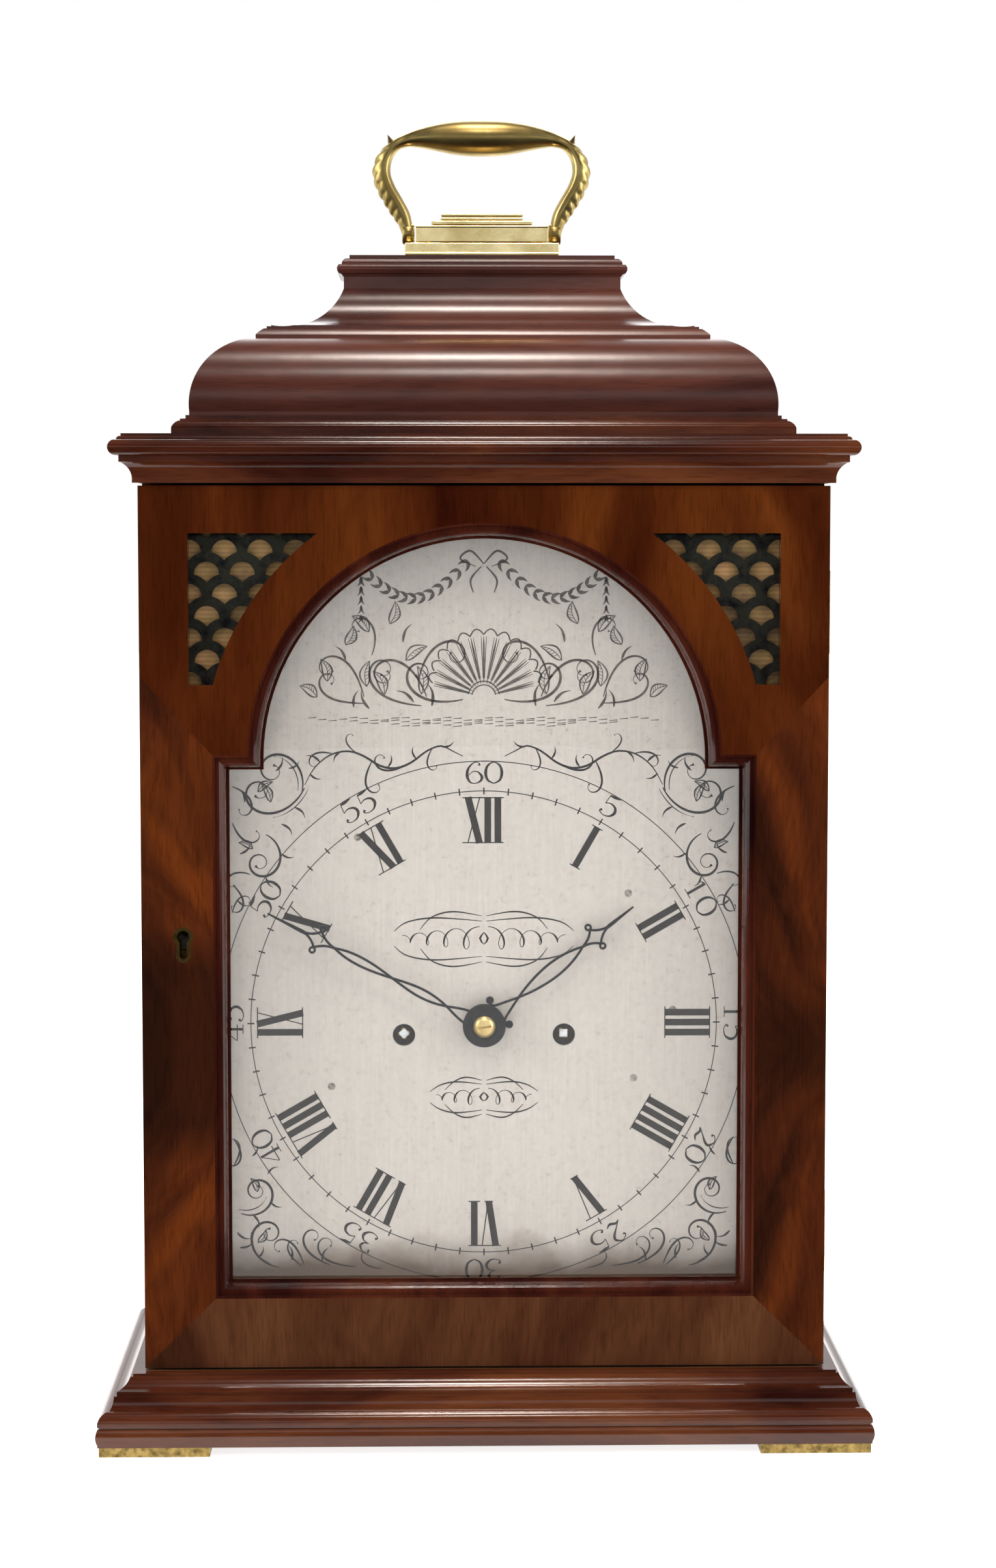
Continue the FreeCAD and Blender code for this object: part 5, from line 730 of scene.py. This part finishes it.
upper_corner = pattern((
    (70, 90, 100, 44, -0.075, -0.44, 1.1), (71.6, 90.5, 98, 18, -0.08, -0.12, 0.45),
    (69, 91.5, -62, 50, 0.052, 0.44, 1.1), (67.6, 91, -64, 18, 0.045, 0.08, 0.45),
    (84, 73.5, -150, 46, 0.1, 0.5, 1.1), (96.8, 78, 250, 18, -0.05, -0.66, 0.9),
    (96.8, 92, 200, 20, 0.06, 0.66, 0.9), (90, 58, 20, 15, -0.08, -0.8, 0.8),
    (96.8, 54, 225, 17, 0.05, 0.8, 0.9), (97.2, 43, 105, 13, 0.04, 0.9, 0.7),
), (
    (73, 84, 6, 230, -1.2, 1.0), (78, 77.5, 6, 230, -1.2, 1.0), (80, 98, 6, 110, 1.2, 1.0),
    (75, 99, 5, 140, 1.0, 0.9), (88, 99, 5, 80, -1.0, 0.9), (92, 86, 6, 60, 1.2, 1.0),
    (78, 66, 5, 190, 1.0, 0.9), (84, 57, 5, 230, 1.0, 0.9), (94, 66, 6, 130, 1.2, 1.0),
    (95, 48, 5, 200, 1.0, 0.9),
), (
    (82, 86, 8, 60, 1.2, 1.4), (87, 90, 7, 150, -1.2, 1.3), (88, -66, 6, 60, 1.0, 1.2),
    (89, 68, 6, 20, 1.0, 1.2), (88, -86, 6, 120, 1.0, 1.2),
))
scrolls = Engraving()
for stroke in both_sides(lower_corner + [band_stem] + band + upper_corner):
    scrolls.line(from_centre(stroke, thinner=0.9), steps=3)
scrolls.make("corner_scrolls", wax)

# %% [markdown]
# ## The arch
# The half round above the ring is filled with a fan shell on a ledge, between two sprays of
# leaves, under a swag of husks: stock patterns of the period. Lines that stand close together
# read as a grey tone from a distance, which is how an engraver shades.

# %% Fan shell
ARCH_BASE = dial_high[2] - CENTRE_Z - 68.0   # height of the ledge above the centre
RIB_PITCH = 12.5                             # degrees from rib to rib
arch = Engraving()


def fan(rows):
    """Points of the fan, from rows of (distance, angle, width)."""
    return from_centre([(r * math.sin(a), r * math.cos(a), w) for r, a, w in rows], ARCH_BASE)


for k in range(-6, 7):
    lean = math.radians(k * RIB_PITCH)
    reach = 24.0 - 0.1 * k * k
    for off in (-2.4, 0.0, 2.4):
        a = lean + math.radians(off)
        inner, heart = (0.3, 0.3) if off else (0.22, 0.75)
        arch.line(fan([(reach * inner, a, 0.25), (reach * 0.7, a, heart), (reach * 0.97, a, 0.2)]))
    if k < 6:
        arch.line(fan([(reach + 2.2 * math.sin(math.pi * q / 4),
                        lean + math.radians(RIB_PITCH) * q / 4, 0.55) for q in range(5)]))
for radius in (4.6, 6.0):
    arch.line(fan([(radius, a / 10, 0.5) for a in range(-14, 15, 2)]))

# %% Sprays and swags
spray = pattern((
    (8, -1, -12, 46, 0.03, 0.5, 1.1), (24, -3.4, 5, 44, 0.02, 0.48, 1.0),
    (46, -2.5, 2, 32, 0.01, 0.6, 0.9), (22, 0, 70, 42, -0.03, -0.5, 1.0),
    (25, 6, 100, 40, 0.035, 0.5, 1.0), (46, 0, 75, 36, -0.02, -0.5, 0.9),
    (43, 16, 110, 26, -0.05, -0.6, 0.8),
), (
    (20, -3.5, 9, 75, 1.6, 1.2), (27, -2, 8, 30, 1.4, 1.1), (44, -4.5, 8, 70, -1.2, 1.1),
    (50, -4, 7, 110, -1.2, 1.0), (31, 21, 8, 120, -1.4, 1.0), (53, 14, 7, 50, 1.2, 1.0),
), [(*row, 1.9) for row in (
    (24, 1, 11, 78, 2.0), (38, 1, 10, 60, 1.6), (45, 4, 10, 100, -1.6), (30, 14, 10, 150, -1.6),
    (36, 28, 9, 100, 1.4), (44, 25, 9, 40, 1.4), (60, 6, 9, 70, 1.4), (64, 0, 8, 30, 1.2),
    (53, 20, 8, 110, 1.2))])
swag = []
for k in range(13):
    t = k / 12
    x, z = 6 + 40 * t, 52 - 12 * math.sin(math.pi * t) - 4 * t
    slope = math.degrees(math.atan2(-12 * math.pi * math.cos(math.pi * t) - 4, 40))
    swag += [comma(x, z, 4.2, slope + 24 * s, 0.7 * s, 1.5) for s in (1, -1)]
for k in range(5):
    swag += [comma(47, 46 - 3.6 * k, 3.8, 270 - 25 * s, 0.6 * s, 1.3 - 0.15 * k) for s in (1, -1)]
bow = [[(0, 51, .4), (5, 56, .9), (9, 53, .7), (3, 50, .3)], [(1, 50, .5), (5, 45, .8), (4, 40, .4)],
       [(44, 49, .4), (48, 52, .8), (50, 48, .6), (46, 47, .3)]]
for stroke in both_sides(spray + swag + bow):
    arch.line(from_centre(stroke, ARCH_BASE))
for k in range(3):   # three broken lines of ground under the ledge
    for x in range(-74, 75, 4):
        z = -8.6 - 1.1 * k + 0.6 * math.sin(x * 0.35 + k)
        if abs(x) < 70 - 16 * k:
            arch.line(from_centre([(x - 1.7, z, .2), (x + 1.5, z + .2, .38)], ARCH_BASE))
arch.make("arch_ornament", fine_wax)

# %% [markdown]
# ## Two loose flourishes
# Above and below the hands the engraver cut running penwork loops between long tails. They have
# no meaning: they are the same line that a writing master drew to warm up the hand.

# %% Flourishes
UPPER_LOOP = 4.6   # half height of the largest loop, in mm
flourishes = ((33.0, 30.0, 4, UPPER_LOOP), (-29.0, 17.0, 3, 3.4))   # height, reach, loops, half height
# way up or down, share of the reach at the end and at the top, and how far the tail stands out
tails = ((1, 1.06, 0.62, 8.0), (-1, 1.06, 0.62, 8.4), (1, 0.72, 0.4, 10.4), (-1, 0.72, 0.4, 11.0))


def running_loops(reach, loops, tall, side):
    """Half of a running line of loops, tall near the middle, small at its end."""
    points = []
    count = loops * 12
    for k in range(count + 1):
        t = k / count
        turn = 2 * math.pi * loops * t
        swell = tall * (1.0 - 0.72 * t)
        out = 1.6 + reach * t ** 0.85 + 0.7 * swell * math.sin(turn)
        points.append((side * out, swell * math.cos(turn), 0.24 + 0.55 * max(0.0, math.sin(turn)) ** 2))
    return points


penwork = Engraving()
for rise, reach, loops, tall in flourishes:
    for side in (1, -1):
        penwork.line(from_centre(running_loops(reach, loops, tall, side), rise), steps=3)
        for lift, far, near, drop in tails:
            drop *= lift * tall / UPPER_LOOP
            penwork.line(from_centre([
                (side * (reach * far + 3), drop * 0.35, .22), (side * reach * far * 0.93, drop * 0.8, .5),
                (side * reach * near, drop, .6), (side * 0.8, drop * 0.84, .2)], rise))
    penwork.line(from_centre([(0, tall * 0.5, .3), (1.5, 0, .9), (0, -tall * 0.5, .3), (-1.5, 0, .9),
                              (0, tall * 0.5, .3)], rise), steps=2)
penwork.make("penwork_flourishes", wax)

# %% [markdown]
# ## Turned fittings
# Small fittings such as washers, caps and collars are turned on a lathe, so one function spins
# an outline of (radius, depth) points about a line through the dial.

# %% Lathe
def join_rings(rings, around, start=0):
    """Faces between rings of points that follow each other."""
    return [(start + i * around + k, start + i * around + (k + 1) % around,
             start + (i + 1) * around + (k + 1) % around, start + (i + 1) * around + k)
            for i in range(rings - 1) for k in range(around)]


def turned(name, outline, x, z, material, body, count=48, wave=None):
    """Spins (radius, y) points about the line through (x, z) that runs out of the dial."""
    verts = []
    for r, y in outline:
        for i in range(count):
            a = 2 * math.pi * i / count
            rr = r * (wave(a, r) if wave else 1.0)
            verts.append((x + rr * math.cos(a), y, z + rr * math.sin(a)))
    add_piece(name, verts, join_rings(len(outline), count), material, body, smooth=True)


def scallops(a, r):
    """Twelve shallow scallops on the boss's shoulder."""
    return 1.0 + (0.035 * math.cos(12 * a) if 5 < r < 8 else 0.0)


hand_face = span("minute_hand")[0][1]
cap_face = min(span("cannon_pinion")[0][1], span("centre_wheel")[0][1]) - 1.6
cap = [(cap_radius, cap_face + back) for cap_radius, back in (
    (0.05, 0.0), (1.7, 0.1), (3.1, 0.6), (4.0, 1.4), (4.3, 2.2))] + [(4.3, hand_face - 0.05)]
boss = [(boss_radius, hand_face - stand) for boss_radius, stand in (
    (4.4, 0.05), (4.5, 1.0), (5.7, 1.15), (7.2, 0.75), (8.3, 0.03))]
turned("brass_collet_cap", cap, CENTRE_X, CENTRE_Z, cast_brass, "minute_hand")
turned("scalloped_hand_boss", boss, CENTRE_X, CENTRE_Z, blued_steel, "minute_hand",
       count=120, wave=scallops)
pin_face = cap_face - 0.35
add_piece("hand_pin", [(CENTRE_X + x, pin_face + y, CENTRE_Z + z) for y in (0, 1) for x, z in (
    (-2.4, -0.6), (2.6, 0.1), (2.5, 0.8), (-2.5, 0.1))], OPEN_BLOCK, old_brass, "minute_hand")
print("hand cap, boss and pin on the minute hand")

# %% [markdown]
# ## Winding squares
# Behind each winding hole stands the squared end of a fusee's arbor. The end is polished steel,
# and the hole round it looks black, because no light gets in behind the dial. That black is
# painted shade: a black ring on the front plate, and a black collar on the arbor's shoulder.

# %% Winding squares
SQUARE_HALF = 1.66
ring_face = span("front_plate")[0][1] - 0.05
for part, degrees in (("going_fusee", 4), ("strike_fusee", 35)):
    low, high = span(part)
    x, z = (round((low[i] + high[i]) / 2, 1) for i in (0, 2))
    front = low[1]
    # painted shade: a black ring on the front plate and a black collar on the arbor darken the hole
    turned(part + "_painted_shade_ring", [(2.4, ring_face), (9.0, ring_face)], x, z, black, "case")
    turned(part + "_painted_shade_collar", [(0.1, front + 0.94), (4.2, front + 0.94), (4.25, front + 1.7)],
           x, z, black, part)
    c, s = (SQUARE_HALF * f(math.radians(degrees)) for f in (math.cos, math.sin))
    corners = [(x + sx * c - sz * s, y, z + sx * s + sz * c) for y in (front - 0.06, front + 5.0)
               for sx, sz in ((-1, -1), (1, -1), (1, 1), (-1, 1))]
    add_piece(part + "_square", corners, OPEN_BLOCK, movement_steel, part, edge=0.25)
    print(part, "winds at", x, z, "with its front end at y", round(front, 2))

# %% [markdown]
# ## The carrying handle
# The bail is cast in one piece: a spindle-shaped grip that flows into two S-shaped arms, with a
# gadrooned leaf on the outside of each arm and a small spike at each shoulder. It could be made
# from a curve with a round bevel, but the section changes all the way round, so here a ring of
# points is carried along the middle line, with its own width and depth at each place.

# %% Handle
bail_low, bail_high = span("handle_bail")
BAIL_Y = 0.5 * (bail_low[1] + bail_high[1])
BAIL_TOP = bail_high[2]
half_bail = [  # out, down from the top, half thickness, half depth, leaf
    (29.2, 44.0, 2.35, 3.0, 0.0), (29.7, 41.0, 2.4, 3.1, 0.3), (31.0, 37.0, 2.7, 3.3, 0.7),
    (33.6, 32.0, 2.7, 3.5, 1.0), (36.6, 26.8, 2.7, 3.6, 1.0), (38.4, 21.8, 2.7, 3.6, 1.0),
    (38.3, 17.2, 2.6, 3.5, 0.8), (36.6, 13.0, 2.35, 3.2, 0.4), (33.6, 9.8, 2.2, 2.9, 0.1),
    (29.5, 8.0, 2.6, 2.8, 0.0), (24.7, 7.15, 3.7, 3.8, 0.0), (17.0, 6.8, 5.4, 5.4, 0.0),
    (9.0, 6.95, 6.7, 6.7, 0.0), (0.0, 7.1, 7.05, 7.2, 0.0),
]
middle_line = half_bail + [(-x, *rest) for x, *rest in reversed(half_bail[:-1])]
LOBE = 4.0      # mm along the arm from one gadroon to the next
AROUND = 36     # points round the bail
EYE_ROUND = 32  # and round each eye
SPIKE_ROUND = 12


def bail_mesh():
    """The grip and both arms, closed at their ends."""
    rows = spline(middle_line, 14)
    verts = []
    run = 0.0
    for i, (x, down, thick, depth, leafy) in enumerate(rows):
        before, after = rows[max(i - 1, 0)], rows[min(i + 1, len(rows) - 1)]
        way = Vector((after[0] - before[0], before[1] - after[1]))
        run += way.length / 2
        way.normalize()
        side = 1.0 if x > 0 else -1.0
        for k in range(AROUND):
            a = 2 * math.pi * k / AROUND
            out, fore = math.cos(a), math.sin(a)
            lobes = 0.55 + 0.75 * abs(math.sin((run + side * 2.6 * fore) * math.pi / LOBE))
            swell = leafy * max(0.0, out) ** 1.5 * 1.5 * lobes
            groove = 0.45 * leafy * math.exp(-((out + 0.15) / 0.16) ** 2)
            r_in = thick * out + swell - groove * math.copysign(0.4, out)
            r_fore = depth * fore * (1 - 0.1 * leafy * groove)
            verts.append((x + way.y * r_in, BAIL_Y + r_fore, BAIL_TOP - down - way.x * r_in))
    ends = [tuple(range(AROUND)), tuple(reversed(range(len(verts) - AROUND, len(verts))))]
    return verts, join_rings(len(rows), AROUND) + ends


verts, faces = bail_mesh()
for side in (1, -1):
    base = len(verts)   # the eye that holds the bail in the plate
    for x, r in ((26.5, 3.6), (26.9, 4.0), (30.9, 4.0), (31.3, 3.6)):
        for k in range(EYE_ROUND):
            a = 2 * math.pi * k / EYE_ROUND
            verts.append((side * x, BAIL_Y + r * math.cos(a), BAIL_TOP - 44.5 + r * math.sin(a)))
    faces += join_rings(4, EYE_ROUND, base)
    faces += [tuple(range(i, i + EYE_ROUND)) for i in (base, base + 3 * EYE_ROUND)]
    base = len(verts)   # the spike on the shoulder
    for k in range(SPIKE_ROUND):
        a = 2 * math.pi * k / SPIKE_ROUND
        verts.append((side * (34.2 + 2.6 * math.cos(a)), BAIL_Y + 2.4 * math.sin(a),
                      BAIL_TOP - 12.0 - 1.2 * math.cos(a)))
    verts.append((side * 37.0, BAIL_Y, BAIL_TOP - 5.6))
    faces += [(base + k, base + (k + 1) % SPIKE_ROUND, base + SPIKE_ROUND) for k in range(SPIKE_ROUND)]
handle = add_piece("carrying_handle", verts, faces, handle_brass, "handle", smooth=True)
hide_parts("handle_bail")
print("handle", round(BAIL_TOP, 1), "mm high,", len(verts), "points")

# %% [markdown]
# ## The stepped plate
# The handle hangs in a cast plate whose front is planed into steps, so that each edge catches a
# line of light. The steps are thin strips on the face of the plate, each with its edges rounded.

# %% Plate steps
plate_low, plate_high = span("handle_plate")
tall = plate_high[2] - plate_low[2]
steps = (  # half width, foot and head as shares of the plate's height, how far it stands out
    (30.15, 0.0, 0.31, 1.1), (30.15, 0.02, 0.09, 1.6), (26.0, 0.33, 0.71, 0.5), (26.0, 0.665, 0.72, 1.0),
    (19.7, 0.735, 0.83, 0.75), (16.0, 0.85, 0.905, 0.55), (16.0, 0.925, 0.995, 1.0),
)
for number, (half, foot, head, stand) in enumerate(steps):
    z0, z1 = (plate_low[2] + tall * share for share in (foot, head))
    corners = [(x, plate_low[1] + y, z) for y in (-stand, 0.2)
               for x, z in ((-half, z0), (half, z0), (half, z1), (-half, z1))]
    add_piece("plate_step_" + str(number), corners, OPEN_BLOCK, plate_brass, "case",
              edge=0.3)
print("plate", round(tall, 1), "mm tall in steps")

# %% [markdown]
# ## Silk behind the frets
# The silk keeps dust out and lets the bell be heard. It is glued behind the brass, stretched
# flat. It is a real cloth, so it is one thin sheet with its own weave, in the place of the
# solid that holds its space in the frame.

# %% Silk sheets
def silk_sheet(name, node_name, axis, side, body):
    """A flat sheet in the middle of one solid, cut to its outline. axis is across the sheet."""
    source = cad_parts[node_name].data
    corners = [v.co for v in source.vertices if v.co.x * side > 0]
    low, high = ([f(c[i] for c in corners) for i in range(3)] for f in (min, max))
    middle = 0.5 * (low[axis] + high[axis])
    index, verts, faces = {}, [], []
    for poly in source.polygons:
        if poly.normal[axis] > -0.9 or poly.center.x * side < 0:
            continue
        for i in poly.vertices:
            if i not in index:
                index[i] = len(verts)
                point = list(source.vertices[i].co)
                point[axis] = middle
                verts.append(point)
        faces.append([index[i] for i in poly.vertices])
    sheet = add_piece(name, verts, faces, silk, body, unit=1.0)
    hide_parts(node_name)


for side, word in ((-1, "left"), (1, "right")):
    silk_sheet("spandrel_silk_" + word, "spandrel_silks", 1, side, "front_door")
    silk_sheet("side_silk_" + word, "side_silks", 0, side, "case")

# %% [markdown]
# ## Gut lines
# Each fusee is pulled by a gut line from its spring barrel. The run between them is drawn
# tight, about 1.2 mm thick, and it touches a drum at each end.

# %% Gut lines
GUT_THICK = 1.2
gut_route = [(55.9, 21.1, 113.3), (53.0, 21.1, 128.0), (48.0, 21.1, 148.0), (46.64, 21.1, 154.6)]
for side, word in ((1, "going"), (-1, "strike")):
    route = [(side * x * MM, y * MM, z * MM) for x, y, z in gut_route]
    curve = bpy.data.curves.new("gut_line_" + word, "CURVE")
    curve.dimensions = "3D"
    curve.bevel_depth = GUT_THICK / 2 * MM
    line = curve.splines.new("NURBS")
    line.points.add(len(route) - 1)
    for point, place in zip(line.points, route):
        point.co = (*place, 1.0)
    line.order_u = 3
    line.use_endpoint_u = True
    curve.materials.append(gut)
    cord = link("gut_line_" + word, curve)
    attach(cord, "case")
    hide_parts("gut_lines")

# %% [markdown]
# ## Camera, floor and light
# The clock stands on a pale floor in front of a white wall. Polished wood shows what is around
# it, so the light is planned by reflections: dark cards face the door and keep the veneer
# deep, two small lamps above draw the bright line along each moulding, and broad soft lamps at
# the sides fill the rest. The cards and the floor are the studio's, not the clock's.

# %% Camera
PITCH = -4.55   # degrees, looking down
YAW = 1.27      # degrees, turned to the right
view = bpy.data.cameras.new("camera")
view.lens = 72.12
camera = link("camera", view)
camera.location = (-0.0213, -1.2483, 0.3482)
camera.rotation_euler = (math.pi / 2 + math.radians(PITCH), 0.0, -math.radians(YAW))
bpy.context.scene.camera = camera
print("camera", [round(v, 3) for v in camera.location])

# %% Studio
FLOOR_BACK = 2.0   # m from the clock back to the middle of the floor


def card(name, size, place, turn, material):
    """A flat studio card, made as one face. Its size and place are in metres."""
    w, h = size[0] / 2, size[1] / 2
    mesh = bpy.data.meshes.new(name)
    mesh.from_pydata([(-w, -h, 0), (w, -h, 0), (w, h, 0), (-w, h, 0)], [], [(0, 1, 2, 3)])
    mesh.materials.append(material)
    piece = link(name, mesh)
    piece.location = place
    piece.rotation_euler = [math.radians(a) for a in turn]
    return piece


def seen_rays(tree):
    """The ray outputs, and 1 where the eye or a polished surface looks."""
    rays = node(tree, "LightPath").outputs
    return rays, calc(tree, "ADD", rays["Is Camera Ray"], rays["Is Glossy Ray"])


def floor_paper():
    """White paper that glows a little more the further it is from the clock."""
    material, tree, shader, place = start_material("white_floor_paper")
    tooth = noise(tree, place, 300, 2.0)["Fac"]
    seen = seen_rays(tree)[1]
    from_clock = node(tree, "VectorMath", {0: place, 1: (0.0, FLOOR_BACK, 0.0)}, operation="ADD")
    away = node(tree, "VectorMath", {0: from_clock.outputs[0]}, operation="LENGTH").outputs["Value"]
    glow = between(tree, away, 0.45, 1.1, 0.8, 1.0)
    put(tree, shader, {
        "Base Color": ramp(tree, tooth, (0.3, "f6f6f6"), (0.7, "f9f9f9")), "Roughness": 0.9,
        "Emission Color": "ffffff", "Emission Strength": calc(tree, "MULTIPLY", seen, glow)})
    return material


def dark_card():
    material, tree, shader, _ = start_material("black_card")
    put(tree, shader, {"Base Color": "0a0909", "Roughness": 1.0, "Specular IOR Level": 0.0})
    return material


card("floor", (12.0, 12.0), (0, FLOOR_BACK, 0), (0, 0, 0), floor_paper())
black_card = dark_card()
for name, size, place, turn in (("front_flag", (3.2, 1.0), (0, -1.7, 0.0), (90, 0, 0)),
                                ("upper_flag", (3.2, 1.5), (0, -1.8, 1.6), (90, 0, 0)),
                                ("ceiling_flag", (3.2, 2.6), (0, -0.5, 2.2), (0, 0, 0)),
                                ("floor_flag", (3.2, 1.66), (0, -0.95, 0.002), (0, 0, 0))):
    flag = card(name, size, place, turn, black_card)
    for rays in ("camera", "diffuse", "shadow", "transmission"):   # only reflections show it
        setattr(flag, "visible_" + rays, False)


def lamp(name, size, place, target, power, colour="ffffff"):
    """A soft lamp of power watts that points at the target."""
    data = bpy.data.lights.new(name, "AREA")
    data.shape = "RECTANGLE"
    data.size, data.size_y = size
    data.energy = power
    data.color = linear(colour)[:3]
    light = link(name, data)
    light.location = place
    way = Vector(target) - Vector(place)
    light.rotation_euler = way.to_track_quat("-Z", "Y").to_euler()


WARM = "fff2e8"
DOOR = (0, 0, 0.3)
lamp("strip_overhead", (0.17, 0.15), (0.01, -0.25, 1.55), (0, -0.1, 0.3), 6.0, WARM)
lamp("strip_front", (0.15, 0.1), (0.03, -0.95, 1.45), DOOR, 3.2, WARM)
lamp("soft_left", (0.7, 1.3), (-1.5, -0.7, 0.8), DOOR, 15.0)
lamp("soft_right", (0.7, 1.3), (1.5, -0.7, 0.8), DOOR, 13.0)
lamp("soft_back", (1.4, 0.6), (0, 1.3, 1.5), DOOR, 12.0)

world = bpy.data.worlds.new("studio")
bpy.context.scene.world = world
world.use_nodes = True
tree = world.node_tree
tree.nodes.clear()
rays, seen = seen_rays(tree)
seen = calc(tree, "ADD", seen, rays["Is Transmission Ray"], use_clamp=True)
sky = node(tree, "Background", {"Color": "ffffff", "Strength": between(tree, seen, 0.0, 1.0, 0.55, 1.0)})
node(tree, "OutputWorld", {"Surface": sky.outputs[0]})
bpy.context.scene.view_settings.view_transform = "Standard"
print("studio ready")
